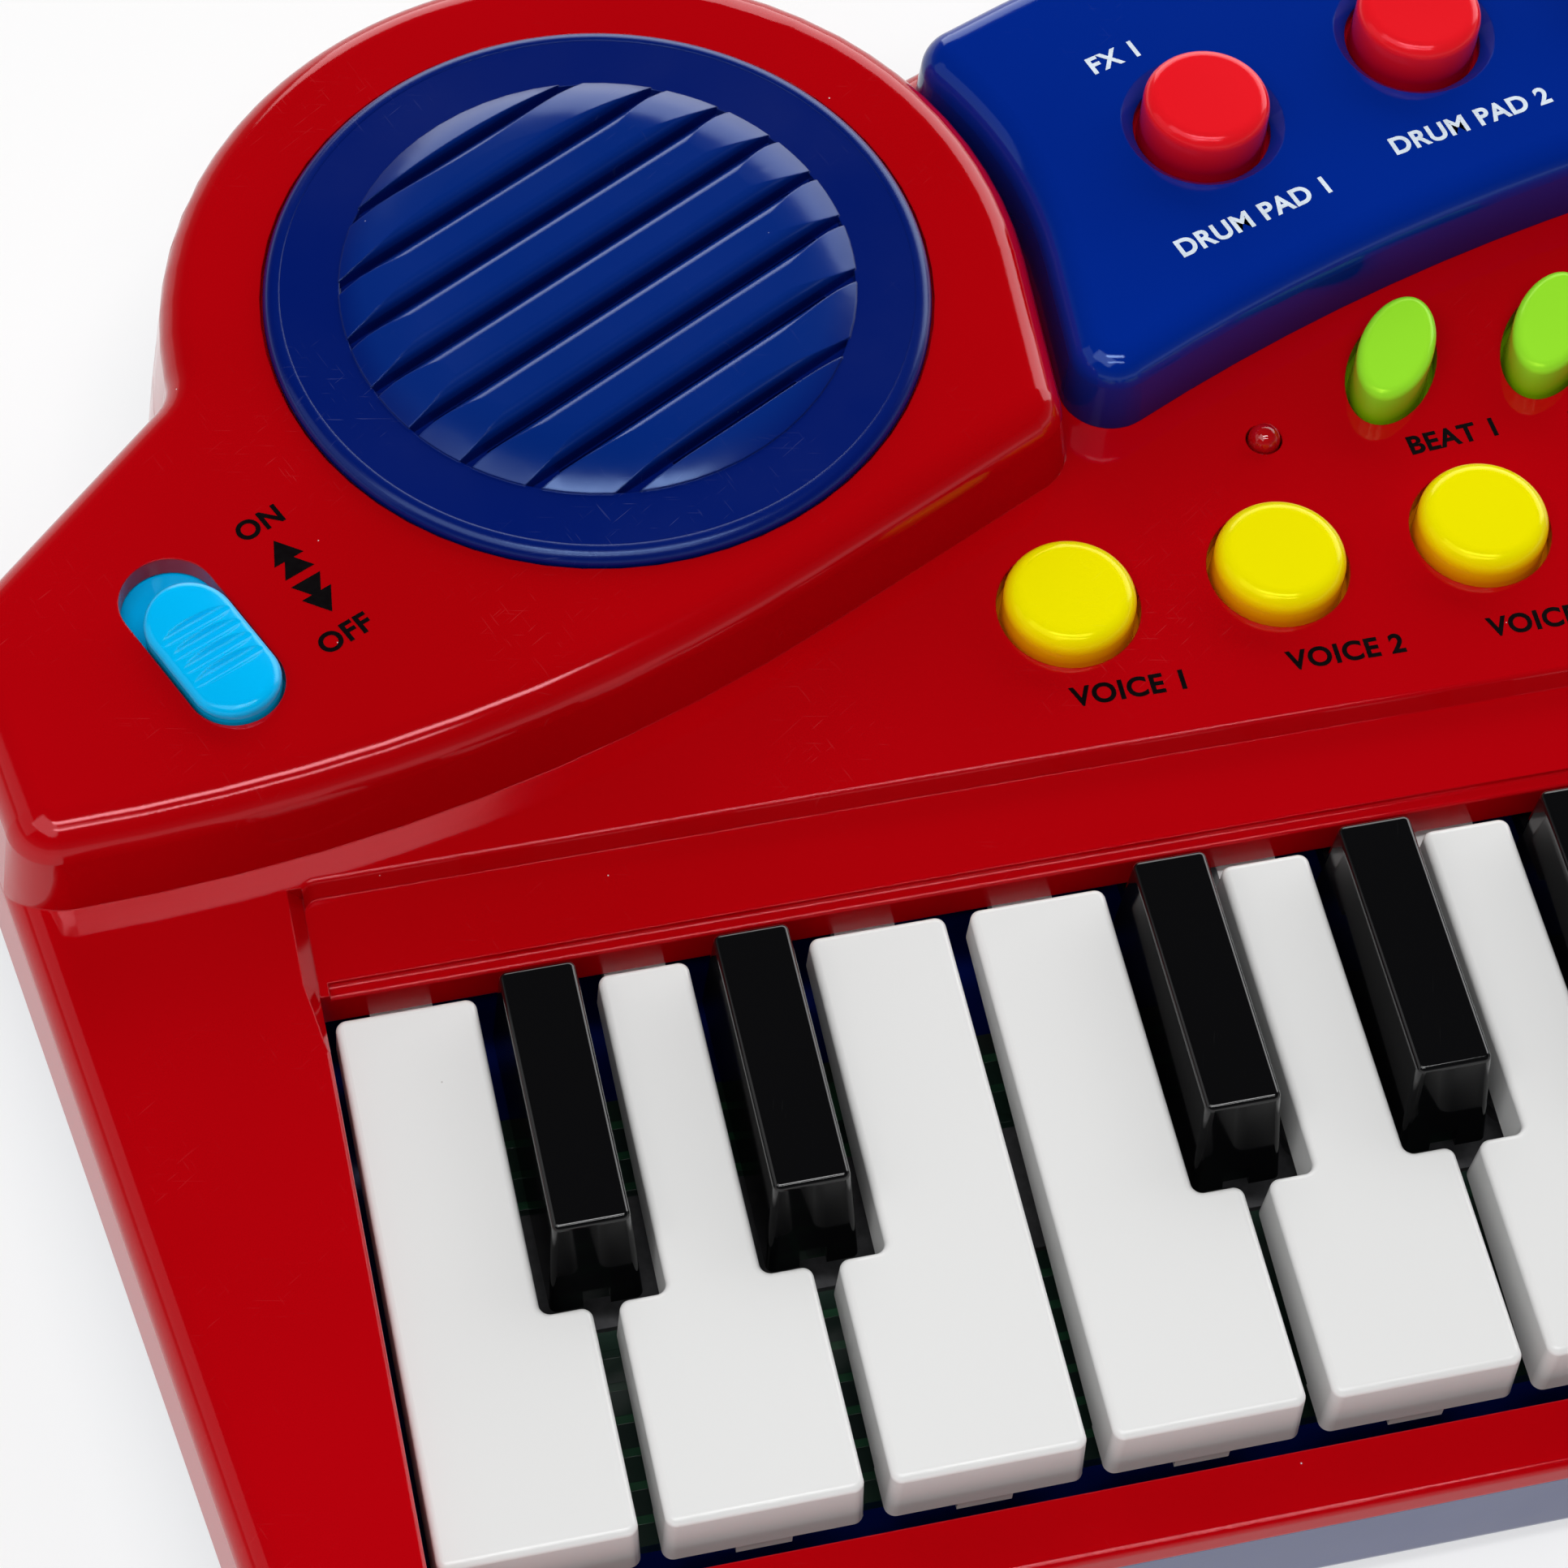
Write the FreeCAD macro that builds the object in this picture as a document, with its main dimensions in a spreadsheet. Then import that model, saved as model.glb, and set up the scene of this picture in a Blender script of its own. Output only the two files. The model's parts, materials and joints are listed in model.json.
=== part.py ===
"""Toy electronic keyboard: a red upper case on a blue lower case, with sprung keys and buttons.

Frame: origin at the middle of the footprint on the floor, +X along the keys, +Y to the back, +Z up.
Plan positions below are given as x from the middle and y from the front edge of the white keys;
heights are given from the floor. Every piece gets a Placement that moves that point to the frame.
"""
import FreeCAD, Part
import math
import os
import Sketcher
from FreeCAD import Vector, Placement, Rotation

doc = FreeCAD.newDocument("toy_keyboard")

# ----------------------------------------------------------------------------- driving dimensions
DRIVING_SIZES = [
    # keys
    ("white_pitch", 19.0, "spacing of the white keys"),
    ("white_count", 19, "number of white keys"),
    ("key_gap", 1.8, "gap between two white keys"),
    ("white_length", 52.0, "visible length of a white key"),
    ("notch_start", 21.1, "distance from the front of a white key to its notch"),
    ("notch_width", 4.3, "width of a notch beside a black key"),
    ("key_bottom", 15.9, "height of the underside of a key"),
    ("white_top", 23.0, "height of the top of a white key"),
    ("white_taper", 2.0, "draft angle of a white key"),
    ("key_round", 0.7, "radius of the edges of a key"),
    ("key_wall", 1.6, "wall of a hollow key"),
    ("lip_depth", 4.5, "depth of a white key's full-height front"),
    ("side_front", 6.8, "height of a white key's side behind its front"),
    ("side_back", 3.7, "height of a white key's side at its back"),
    ("black_top", 27.4, "height of the top of a black key"),
    ("black_front", 26.2, "front of a black key's top"),
    ("black_back", 51.4, "back of a black key"),
    ("black_width", 6.7, "width of a black key's top"),
    ("black_flare", 0.75, "how far a black key widens to its foot, each side"),
    ("black_slope", 2.3, "how far a black key's front slopes out"),
    ("hinge_line", 66.0, "distance of the key hinge behind the key fronts"),
    ("hinge_height", 15.0, "height of the key hinge"),
    ("knuckle_radius", 2.0, "radius of a key's hinge knuckle"),
    ("arm_height", 2.0, "thickness of a key's rear arm"),
    # case
    ("parting_height", 16.0, "height where the two case halves meet"),
    ("deck_height", 25.0, "height of the control panel and the cheeks"),
    ("lobe_height", 34.5, "height of the two speaker lobes"),
    ("case_draft", 8.5, "draft angle of the upper case"),
    ("case_wall", 2.2, "wall of both case halves"),
    ("front_y", -8.2, "front of the case"),
    ("front_half", 194.1, "half width at the front"),
    ("corner_half", 210.35, "half width at the widest corners"),
    ("corner_y", 92.2, "place of the widest corners"),
    ("lobe_x", 143.0, "middle of a speaker lobe, from the centre line"),
    ("lobe_y", 117.3, "middle of a speaker lobe, behind the key fronts"),
    ("lobe_radius", 43.5, "radius of a lobe at the parting line"),
    ("arch_y", -96.1, "centre of the arched back and of the drum panel"),
    ("arch_radius", 265.8, "radius of the arched back at the parting line"),
    ("well_half", 180.2, "half width of the key well"),
    ("well_front", -2.1, "front of the key well"),
    ("well_back", 54.2, "back of the key well"),
    ("rail_height", 18.25, "height of the rail in front of the keys"),
    ("recess_back", 64.8, "back of the sunk strip behind the keys"),
    ("floor_height", 2.0, "height of the underside above the feet"),
    # drum panel
    ("drum_height", 33.5, "height of the drum panel"),
    ("drum_front_radius", 217.05, "radius of the drum panel's front at the deck"),
    ("drum_back_radius", 262.4, "radius of the drum panel's back at the deck"),
    ("drum_lobe_gap", 0.6, "gap between the drum panel and a lobe at the deck"),
    ("drum_draft", 5.0, "draft angle of the drum panel"),
    ("drum_round", 3.2, "radius of the drum panel's top edge"),
    # controls
    ("button_radius", 6.3, "radius of a round button"),
    ("button_hole", 6.75, "radius of the hole round a button"),
    ("yellow_top", 28.0, "height of a yellow button"),
    ("green_top", 29.0, "height of a green button"),
    ("red_top", 37.5, "height of a drum button"),
    ("drum_button_arc", 237.8, "radius of the arc of the drum buttons"),
    ("green_long", 6.6, "half length of an oval button"),
    ("green_short", 3.7, "half width of an oval button"),
    ("green_tilt", 57.0, "direction of an oval button's long axis"),
    ("ring_radius", 31.3, "radius of a speaker grille"),
    ("grille_zone", 24.2, "radius of the barred part of a grille"),
    ("bar_pitch", 5.8, "spacing of the grille bars"),
    ("bar_tilt", 28.0, "direction of the grille bars"),
    ("slot_width", 8.9, "width of the power switch slot"),
    ("slot_run", 10.8, "distance between the slot's two end centres"),
    ("knob_run", 7.1, "distance between the knob's two end centres"),
    ("board_height", 17.0, "height of the button board's underside"),
    ("board_thickness", 1.6, "thickness of the circuit boards"),
]

sheet = doc.addObject("Spreadsheet::Sheet", "sizes")
for row, (alias, value, note) in enumerate(DRIVING_SIZES, start=1):
    sheet.set("A%d" % row, alias)
    sheet.set("B%d" % row, str(value))
    sheet.set("C%d" % row, note)
    sheet.setAlias("B%d" % row, alias)
doc.recompute()


class Size:
    """A number together with the sheet expression that gives it."""

    def __init__(self, value, text):
        self.value = float(value)
        self.text = text

    def join(self, other, sign, value):
        other_text = other.text if isinstance(other, Size) else repr(float(other))
        return Size(value, "(%s %s %s)" % (self.text, sign, other_text))

    def __add__(self, other):
        return self.join(other, "+", self.value + number(other))

    def __sub__(self, other):
        return self.join(other, "-", self.value - number(other))

    def __mul__(self, other):
        return self.join(other, "*", self.value * number(other))

    def __neg__(self):
        return Size(-self.value, "(-1 * %s)" % self.text)


def number(item):
    return item.value if isinstance(item, Size) else float(item)


def cell(alias):
    return Size(sheet.get(alias), "sizes.%s" % alias)


def mm(alias):
    return float(sheet.get(alias))


def bind(item, path, wanted):
    """Sets a property and binds it to the sheet when its size comes from there."""
    if isinstance(wanted, Size):
        item.setExpression(path, wanted.text)


# sizes along Y are measured from the fronts of the white keys; the origin is the case's middle
KEY_FRONT = -((cell("front_y") + cell("arch_y") + cell("arch_radius")) * 0.5)
HERE = Placement(Vector(0, KEY_FRONT.value, 0), Rotation())
parts = []


def keep(item, label):
    """Names a finished sub-part, whose label is also its file's name."""
    item.Label = label
    parts.append(item)
    return item


def keep_shape(shape, label):
    """Adds a sub-part whose shape is made with Part's own functions, in plan coordinates."""
    item = doc.addObject("Part::Feature", label)
    item.Shape = shape
    item.Placement = HERE
    return keep(item, label)


# ----------------------------------------------------------------------------- sketch helpers
def new_body(label, x, y):
    body = doc.addObject("PartDesign::Body", label)
    body.Placement = Placement(Vector(number(x), number(y), 0), Rotation())
    bind(body, "Placement.Base.x", x)
    bind(body, "Placement.Base.y", y)
    return keep(body, label)


def origin_plane(body, role):
    return next(plane for plane in body.Origin.OriginFeatures if plane.Role == role)


def new_sketch(body, name, height=None, role="XY_Plane"):
    sketch = body.newObject("Sketcher::SketchObject", name)
    sketch.AttachmentSupport = [(origin_plane(body, role), "")]
    sketch.MapMode = "FlatFace"
    if height is not None:
        sketch.AttachmentOffset = Placement(Vector(0, 0, number(height)), Rotation())
        bind(sketch, "AttachmentOffset.Base.z", height)
    return sketch


def hold(sketch, kind, index, wanted):
    """Holds the start of an edge at a distance from the sketch's origin, bound to the sheet."""
    place = sketch.addConstraint(Sketcher.Constraint(kind, -1, 1, index, 1, number(wanted)))
    bind(sketch, "Constraints[%d]" % place, wanted)


def add_outline(sketch, corners):
    """Draws a closed outline of straight edges. Each corner is an (x, y) pair."""
    first = sketch.GeometryCount
    ends = corners[1:] + corners[:1]
    for (x, y), (next_x, next_y) in zip(corners, ends):
        start = Vector(number(x), number(y), 0)
        end = Vector(number(next_x), number(next_y), 0)
        sketch.addGeometry(Part.LineSegment(start, end))
    count = len(corners)
    for step in range(count):
        following = first + (step + 1) % count
        sketch.addConstraint(Sketcher.Constraint("Coincident", first + step, 2, following, 1))
    for step, (x, y) in enumerate(corners):
        hold(sketch, "DistanceX", first + step, x)
        hold(sketch, "DistanceY", first + step, y)


def add_rectangle(sketch, low_x, low_y, high_x, high_y):
    add_outline(sketch, [(low_x, low_y), (high_x, low_y), (high_x, high_y), (low_x, high_y)])


def add_circle(sketch, x, y, radius):
    index = sketch.addGeometry(Part.Circle(Vector(number(x), number(y), 0), Vector(0, 0, 1),
                                           number(radius)))
    place = sketch.addConstraint(Sketcher.Constraint("Radius", index, number(radius)))
    bind(sketch, "Constraints[%d]" % place, radius)
    for kind, wanted in (("DistanceX", x), ("DistanceY", y)):
        place = sketch.addConstraint(Sketcher.Constraint(kind, -1, 1, index, 3, number(wanted)))
        bind(sketch, "Constraints[%d]" % place, wanted)


def add_pad(body, sketch, name, length, taper=None):
    pad = body.newObject("PartDesign::Pad", name)
    pad.Profile = sketch
    pad.Length = number(length)
    bind(pad, "Length", length)
    if taper is not None:
        pad.TaperAngle = -number(taper)
        bind(pad, "TaperAngle", -taper)
    doc.recompute()
    return pad


def add_pocket(body, sketch, name, length):
    """Cuts upwards from a sketch, and checks that it did cut."""
    before = body.Shape.Volume
    pocket = body.newObject("PartDesign::Pocket", name)
    pocket.Profile = sketch
    pocket.Length = number(length)
    pocket.Reversed = True
    bind(pocket, "Length", length)
    doc.recompute()
    if body.Shape.Volume >= before:
        raise ValueError("%s cuts nothing from %s" % (name, body.Label))
    return pocket


def add_fillet(body, feature, name, radius, wanted_edge):
    """Rounds the edges of the last feature that a test picks."""
    edges = ["Edge%d" % (place + 1) for place, edge in enumerate(feature.Shape.Edges)
             if wanted_edge(edge)]
    fillet = body.newObject("PartDesign::Fillet", name)
    fillet.Base = (feature, edges)
    fillet.Radius = number(radius)
    bind(fillet, "Radius", radius)
    doc.recompute()
    return fillet


def edge_heights(edge):
    box = edge.BoundBox
    return box.ZMin, box.ZMax


# ----------------------------------------------------------------------------- keys
NATURALS_WITH_SHARP = (True, True, False, True, True, True, False)


def has_sharp(index):
    """Whether a black key stands between this white key and the next, counted from a C."""
    return index < int(mm("white_count")) - 1 and NATURALS_WITH_SHARP[index % 7]


def add_hinge(body, width, low_x):
    """The arm behind a key and the knuckle that it turns on, in the key's own coordinates."""
    arm_sketch = new_sketch(body, "arm_outline", cell("hinge_height"))
    add_rectangle(arm_sketch, low_x, cell("white_length") - 3.0, low_x + width, cell("hinge_line"))
    add_pad(body, arm_sketch, "arm", cell("arm_height"))
    knuckle_sketch = new_sketch(body, "knuckle_outline", low_x, "YZ_Plane")
    add_circle(knuckle_sketch, cell("hinge_line"), cell("hinge_height"), cell("knuckle_radius"))
    add_pad(body, knuckle_sketch, "knuckle", width)


def make_white_key(index):
    """A hollow key, notched where a black key stands beside it, with its arm and knuckle.

    Its sides grow shallower towards the back, where a heel joins the arm to the top.
    """
    width = cell("white_pitch") - cell("key_gap")
    left = cell("white_pitch") * (index - mm("white_count") / 2.0) + cell("key_gap") * 0.5
    body = new_body("white_key_%02d" % (index + 1), left, KEY_FRONT)
    notch_left = index > 0 and has_sharp(index - 1)
    notch_right = has_sharp(index)
    zero = Size(0.0, "0")

    def outline(inset):
        """The key's plan, a distance inside its own edges."""
        low, high = zero + inset, width - inset
        front, back = zero + inset, cell("white_length") - inset
        notch = cell("notch_start") - inset
        corners = [(low, front), (high, front)]
        if notch_right:
            inner = width - cell("notch_width") - inset
            corners += [(high, notch), (inner, notch), (inner, back)]
        else:
            corners += [(high, back)]
        if notch_left:
            inner = cell("notch_width") + inset
            corners += [(inner, back), (inner, notch), (low, notch)]
        else:
            corners += [(low, back)]
        return corners

    cap_sketch = new_sketch(body, "cap_outline", cell("key_bottom"))
    add_outline(cap_sketch, outline(0.0))
    height = cell("white_top") - cell("key_bottom")
    cap = add_pad(body, cap_sketch, "cap", height, cell("white_taper"))
    top = mm("white_top")
    rounded = add_fillet(body, cap, "upright_edges", cell("key_round") * 1.4,
                         lambda edge: edge_heights(edge)[1] - edge_heights(edge)[0] > 3.0)
    add_fillet(body, rounded, "top_edges", cell("key_round"),
               lambda edge: edge_heights(edge)[0] > top - 0.01)
    hollow_sketch = new_sketch(body, "hollow_outline", cell("key_bottom"))
    add_outline(hollow_sketch, outline(mm("key_wall")))
    add_pocket(body, hollow_sketch, "hollow", height - cell("key_wall"))
    relief_sketch = new_sketch(body, "side_relief_outline", zero - 1.0, "YZ_Plane")
    below, behind = cell("key_bottom") - 2.0, cell("white_length") + 1.0
    add_outline(relief_sketch, [(cell("lip_depth"), below), (behind, below),
                                (behind, cell("white_top") - cell("side_back")),
                                (cell("lip_depth"), cell("white_top") - cell("side_front"))])
    add_pocket(body, relief_sketch, "side_relief", width + 2.0)
    tab_sketch = new_sketch(body, "tab_outline", cell("key_bottom") - 1.4)
    add_rectangle(tab_sketch, width * 0.36, zero + 0.1, width * 0.64, zero + 1.6)
    add_pad(body, tab_sketch, "front_tab", zero + 1.8)
    arm_width = 5.6
    arm_left = (width - cell("notch_width") * (float(notch_right) - float(notch_left)) - arm_width) * 0.5
    heel_sketch = new_sketch(body, "heel_outline", cell("hinge_height"))
    add_rectangle(heel_sketch, arm_left, cell("white_length") - 3.0,
                  arm_left + arm_width, cell("white_length") - 0.5)
    add_pad(body, heel_sketch, "heel", cell("white_top") - cell("key_wall") + 0.2 - cell("hinge_height"))
    add_hinge(body, arm_width, arm_left)
    return body


def make_black_key(index):
    """A raised key whose sides and front slope out to its foot, with its arm and knuckle."""
    middle = cell("white_pitch") * (index + 1 - mm("white_count") / 2.0)
    half_foot = cell("black_width") * 0.5 + cell("black_flare")
    body = new_body("black_key_%02d" % (len([n for n in range(index) if has_sharp(n)]) + 1),
                    middle - half_foot, KEY_FRONT)
    zero = Size(0.0, "0")
    cap = body.newObject("PartDesign::AdditiveWedge", "cap")
    cap.AttachmentSupport = [(origin_plane(body, "XY_Plane"), "")]
    cap.MapMode = "FlatFace"
    cap.AttachmentOffset = Placement(Vector(0, 0, 0), Rotation(Vector(1, 0, 0), 90))
    wedge_sizes = {
        "Ymin": cell("key_bottom"), "Ymax": cell("black_top"),
        "Xmin": zero, "Xmax": half_foot * 2.0,
        "X2min": cell("black_flare"), "X2max": cell("black_flare") + cell("black_width"),
        "Zmin": -(cell("black_back") + 0.3), "Zmax": -(cell("black_front") - cell("black_slope")),
        "Z2min": -cell("black_back"), "Z2max": -cell("black_front"),
    }
    for path, wanted in wedge_sizes.items():
        setattr(cap, path, number(wanted))
        bind(cap, path, wanted)
    doc.recompute()
    top = mm("black_top")
    rounded = add_fillet(body, cap, "upright_edges", cell("key_round"),
                         lambda edge: edge_heights(edge)[1] - edge_heights(edge)[0] > 3.0)
    add_fillet(body, rounded, "top_edges", cell("key_round") * 0.9,
               lambda edge: edge_heights(edge)[0] > top - 0.01)
    hollow_sketch = new_sketch(body, "hollow_outline", cell("key_bottom"))
    add_rectangle(hollow_sketch, cell("key_wall") + 0.6, cell("black_front") + cell("key_wall"),
                  half_foot * 2.0 - cell("key_wall") - 0.6, cell("black_back") - cell("key_wall"))
    add_pocket(body, hollow_sketch, "hollow", cell("black_top") - cell("key_bottom") - 2.0)
    notch_sketch = new_sketch(body, "notch_outline", cell("key_bottom"))
    add_rectangle(notch_sketch, half_foot - 1.2, cell("black_front") - cell("black_slope") - 0.5,
                  half_foot + 1.2, cell("black_front") - cell("black_slope") + 0.6)
    add_pocket(body, notch_sketch, "foot_notch", zero + 2.2)
    add_hinge(body, 4.4, half_foot - 2.2)
    return body


for white_index in range(int(mm("white_count"))):
    make_white_key(white_index)
for white_index in range(int(mm("white_count"))):
    if has_sharp(white_index):
        make_black_key(white_index)


# ----------------------------------------------------------------------------- primitives
def make_box(low_x, low_y, low_z, high_x, high_y, high_z):
    """A Part::Box between two corners, each a number or a size from the sheet."""
    box = doc.addObject("Part::Box", "block")
    lows = (low_x, low_y, low_z)
    highs = (high_x, high_y, high_z)
    box.Placement = Placement(Vector(*[number(low) for low in lows]), Rotation())
    for path, low, high in zip(("Length", "Width", "Height"), lows, highs):
        setattr(box, path, number(high) - number(low))
        if isinstance(high, Size) or isinstance(low, Size):
            known_high = high if isinstance(high, Size) else Size(high, repr(float(high)))
            bind(box, path, known_high - low)
    for axis, low in zip("xyz", lows):
        bind(box, "Placement.Base.%s" % axis, low)
    return box


def make_cylinder(x, y, low, high, radius):
    """An upright Part::Cylinder."""
    cylinder = doc.addObject("Part::Cylinder", "round")
    cylinder.Radius = number(radius)
    cylinder.Height = number(high) - number(low)
    cylinder.Placement = Placement(Vector(number(x), number(y), number(low)), Rotation())
    bind(cylinder, "Radius", radius)
    if isinstance(high, Size):
        bind(cylinder, "Height", high - low)
    for axis, wanted in zip("xyz", (x, y, low)):
        bind(cylinder, "Placement.Base.%s" % axis, wanted)
    return cylinder


def group(kind, items, label):
    """A Part::MultiFuse of pieces that touch, or a Part::Compound of separate ones."""
    whole = doc.addObject(kind, label)
    if kind == "Part::MultiFuse":
        whole.Shapes = items
        whole.Refine = True
    else:
        whole.Links = items
    return whole


def join_objects(kind, items, label):
    """A finished sub-part that is a group of simpler objects."""
    whole = group(kind, items, label)
    whole.Placement = HERE
    return keep(whole, label)


# ----------------------------------------------------------------------------- plan outlines
def disc(x, y, radius):
    return Part.Face(Part.Wire(Part.makeCircle(radius, Vector(x, y, 0))))


def polygon(points):
    corners = [Vector(x, y, 0) for x, y in points]
    return Part.Face(Part.makePolygon(corners + corners[:1]))


def mirrored(shape):
    return shape.mirror(Vector(0, 0, 0), Vector(1, 0, 0))


def united(faces):
    """One outline that covers several overlapping ones."""
    slabs = [face.extrude(Vector(0, 0, 1)) for face in faces]
    whole = slabs[0].multiFuse(slabs[1:]).removeSplitter()
    level = [face for face in whole.Faces if face.BoundBox.ZMax < 0.001]
    return Part.Face(level[0].OuterWire)


def offset_face(face, distance):
    """A face grown by a distance, or shrunk by a negative one."""
    return Part.Face(Part.Wire(face.OuterWire.makeOffset2D(distance).Edges))


def round_corners(face, convex, concave=0.0):
    """Rounds the outward corners of an outline, and its inward corners where asked."""
    rounded = offset_face(offset_face(face, -convex), convex)
    if concave:
        rounded = offset_face(offset_face(rounded, concave), -concave)
    return rounded


def lifted(shape, height):
    moved = shape.copy()
    moved.translate(Vector(0, 0, height))
    return moved


def lofted(face, low, other_face, high):
    """A solid with straight sides between two outlines at two heights."""
    return Part.makeLoft([lifted(face.OuterWire, low), lifted(other_face.OuterWire, high)], True, True)


def tapered(face, low, high, inset):
    """A solid that rises from an outline and leans in by an inset."""
    return lofted(face, low, offset_face(face, -inset), high)


def block(low_x, low_y, low_z, high_x, high_y, high_z):
    return Part.makeBox(high_x - low_x, high_y - low_y, high_z - low_z, Vector(low_x, low_y, low_z))


def round_bar(x, y, low, high, radius):
    return Part.makeCylinder(radius, high - low, Vector(x, y, low))


def both_sides(shape):
    return [shape, mirrored(shape)]


def flat_edges(shape, height, wanted=None):
    """The edges of a solid that lie level at a height."""
    found = []
    for edge in shape.Edges:
        box = edge.BoundBox
        if abs(box.ZMin - height) < 0.02 and abs(box.ZMax - height) < 0.02:
            if wanted is None or wanted(edge):
                found.append(edge)
    return found


DRAFT_SLOPE = math.tan(math.radians(mm("case_draft")))
LOBE_X, LOBE_Y = mm("lobe_x"), mm("lobe_y")
PARTING, DECK = mm("parting_height"), mm("deck_height")
LOBE_TOP, DRUM_TOP = mm("lobe_height"), mm("drum_height")
WALL = mm("case_wall")
WELL_HALF = mm("well_half")
ARCH_Y = mm("arch_y")
DECK_INSET = (DECK - PARTING) * DRAFT_SLOPE
LOBE_INSET = (LOBE_TOP - DECK) * DRAFT_SLOPE
LOBE_DECK_RADIUS = mm("lobe_radius") - DECK_INSET

# the front of a lobe's step, in plan: an arc, then a straight line to the lobe's inner corner
STEP_ARC = (-201.0, 235.1)
STEP_ARC_RADIUS = 169.1
STEP_LEAN = math.radians(25.6)
STEP_LINE = 28.9
LOBE_SINK = 4.0
LOBE_STEP_BACK = 0.03


def case_outline():
    """The plan of the case where its halves meet."""
    shoulder_x, shoulder_y = 162.8, 137.9
    half = [(mm("front_half"), mm("front_y")), (mm("corner_half"), mm("corner_y")),
            (shoulder_x, shoulder_y)]
    trapezoid = polygon(half + [(-x, y) for x, y in reversed(half)])
    lobes = both_sides(disc(-LOBE_X, LOBE_Y, mm("lobe_radius")))
    sheet_of_arch = polygon([(-LOBE_X, 60), (LOBE_X, 60), (LOBE_X, 200), (-LOBE_X, 200)])
    arch = disc(0, ARCH_Y, mm("arch_radius")).common(sheet_of_arch)
    whole = united([trapezoid, arch] + lobes)
    return round_corners(whole, 7.5, 3.0)


def around(centre, radius, angle):
    """A point on a circle, at an angle from the +X axis."""
    return Vector(centre[0] + radius * math.cos(angle), centre[1] + radius * math.sin(angle), 0)


def arc_edge(centre, radius, start, end):
    points = [around(centre, radius, angle) for angle in (start, (start + end) / 2.0, end)]
    return Part.Arc(*points).toShape()


def lobe_outline(deck_face):
    """The plan of the left lobe at the height of the deck."""
    centre = (-LOBE_X, LOBE_Y)
    right_angle = math.pi / 2.0
    arc_start, arc_end = -right_angle - math.radians(12.0), -right_angle + STEP_LEAN
    front_arc = arc_edge(STEP_ARC, STEP_ARC_RADIUS, arc_start, arc_end)
    line_start = around(STEP_ARC, STEP_ARC_RADIUS, arc_end)
    corner = line_start + Vector(math.cos(STEP_LEAN), math.sin(STEP_LEAN), 0) * STEP_LINE
    reach = corner - Vector(-LOBE_X, LOBE_Y, 0)
    touch = math.atan2(reach.y, reach.x) + math.acos(LOBE_DECK_RADIUS / reach.Length)
    wall_end = around(centre, LOBE_DECK_RADIUS, touch)
    back_arc = arc_edge(centre, LOBE_DECK_RADIUS, touch, right_angle)
    back = around(centre, LOBE_DECK_RADIUS, right_angle)
    outer_back, outer_front = Vector(-240, back.y, 0), around(STEP_ARC, STEP_ARC_RADIUS, arc_start)
    path = [back, outer_back, Vector(-240, outer_front.y, 0), outer_front]
    edges = [front_arc, Part.makeLine(line_start, corner), Part.makeLine(corner, wall_end), back_arc]
    edges += [Part.makeLine(a, b) for a, b in zip(path, path[1:])]
    region = Part.Face(Part.Wire(edges))
    rough = united([offset_face(deck_face, -LOBE_STEP_BACK).common(region)])
    return round_corners(rough, 5.5)


CASE_PLAN = case_outline()
DECK_PLAN = offset_face(CASE_PLAN, -DECK_INSET)
LOBE_PLAN = lobe_outline(DECK_PLAN)


def drum_outline():
    """The plan of the drum panel where it stands on the deck, between the two lobes."""
    ring = disc(0, ARCH_Y, mm("drum_back_radius")).cut(disc(0, ARCH_Y, mm("drum_front_radius")))
    middle = polygon([(-110, 60), (110, 60), (110, 200), (-110, 200)])
    clear = [offset_face(lobe, mm("drum_lobe_gap")) for lobe in both_sides(LOBE_PLAN)]
    pieces = ring.common(middle).cut(clear).Faces
    return round_corners(max(pieces, key=lambda face: face.Area), 4.8)


DRUM_PLAN = drum_outline()

# ----------------------------------------------------------------------------- places of controls
YELLOW_PLACES = [(-106.0, 80.2), (-85.6, 80.8), (-65.6, 81.4)]
GREEN_PLACES = [(-68.5, 101.0), (-52.8, 101.1)]
DRUM_ANGLES = [19.94, 13.97, 8.0]
RED_PLACES = [(-mm("drum_button_arc") * math.sin(math.radians(angle)),
               ARCH_Y + mm("drum_button_arc") * math.cos(math.radians(angle)))
              for angle in DRUM_ANGLES]
LED_PLACE = (-82.9, 95.2)
SLOT_START = (-182.8, 80.5)
SLOT_WAY = (-0.4174, 0.9087)
SCREW_PLACES = [(187.0, 6.0), (200.0, 88.0), (60.0, 152.0)]
SCREW_POST_ROOFS = [DECK - 1.0, LOBE_TOP - WALL + 0.3, DECK - 1.0]
FOOT_PLACES = [(178.0, 4.0), (172.0, 128.0)]
SCREW_POST_RADIUS = 3.8
BAY_HALF, BAY_FRONT, BAY_BACK, BAY_ROOF = 22.6, 107.0, 159.0, 19.2
DOOR_SCREW_Y = 100.5


def on_both_sides(places):
    return places + [(-x, y) for x, y in reversed(places)]


def stadium(run, radius, start):
    """A slot's plan: two round ends a run apart, along the power switch's direction."""
    end = (start[0] + SLOT_WAY[0] * run, start[1] + SLOT_WAY[1] * run)
    across = (-SLOT_WAY[1] * radius, SLOT_WAY[0] * radius)
    sides = [(start[0] + across[0], start[1] + across[1]), (end[0] + across[0], end[1] + across[1]),
             (end[0] - across[0], end[1] - across[1]), (start[0] - across[0], start[1] - across[1])]
    ends = [disc(start[0], start[1], radius), disc(end[0], end[1], radius)]
    return united([polygon(sides)] + ends)


def prism(face, low, high):
    return lifted(face, low).extrude(Vector(0, 0, high - low))


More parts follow.
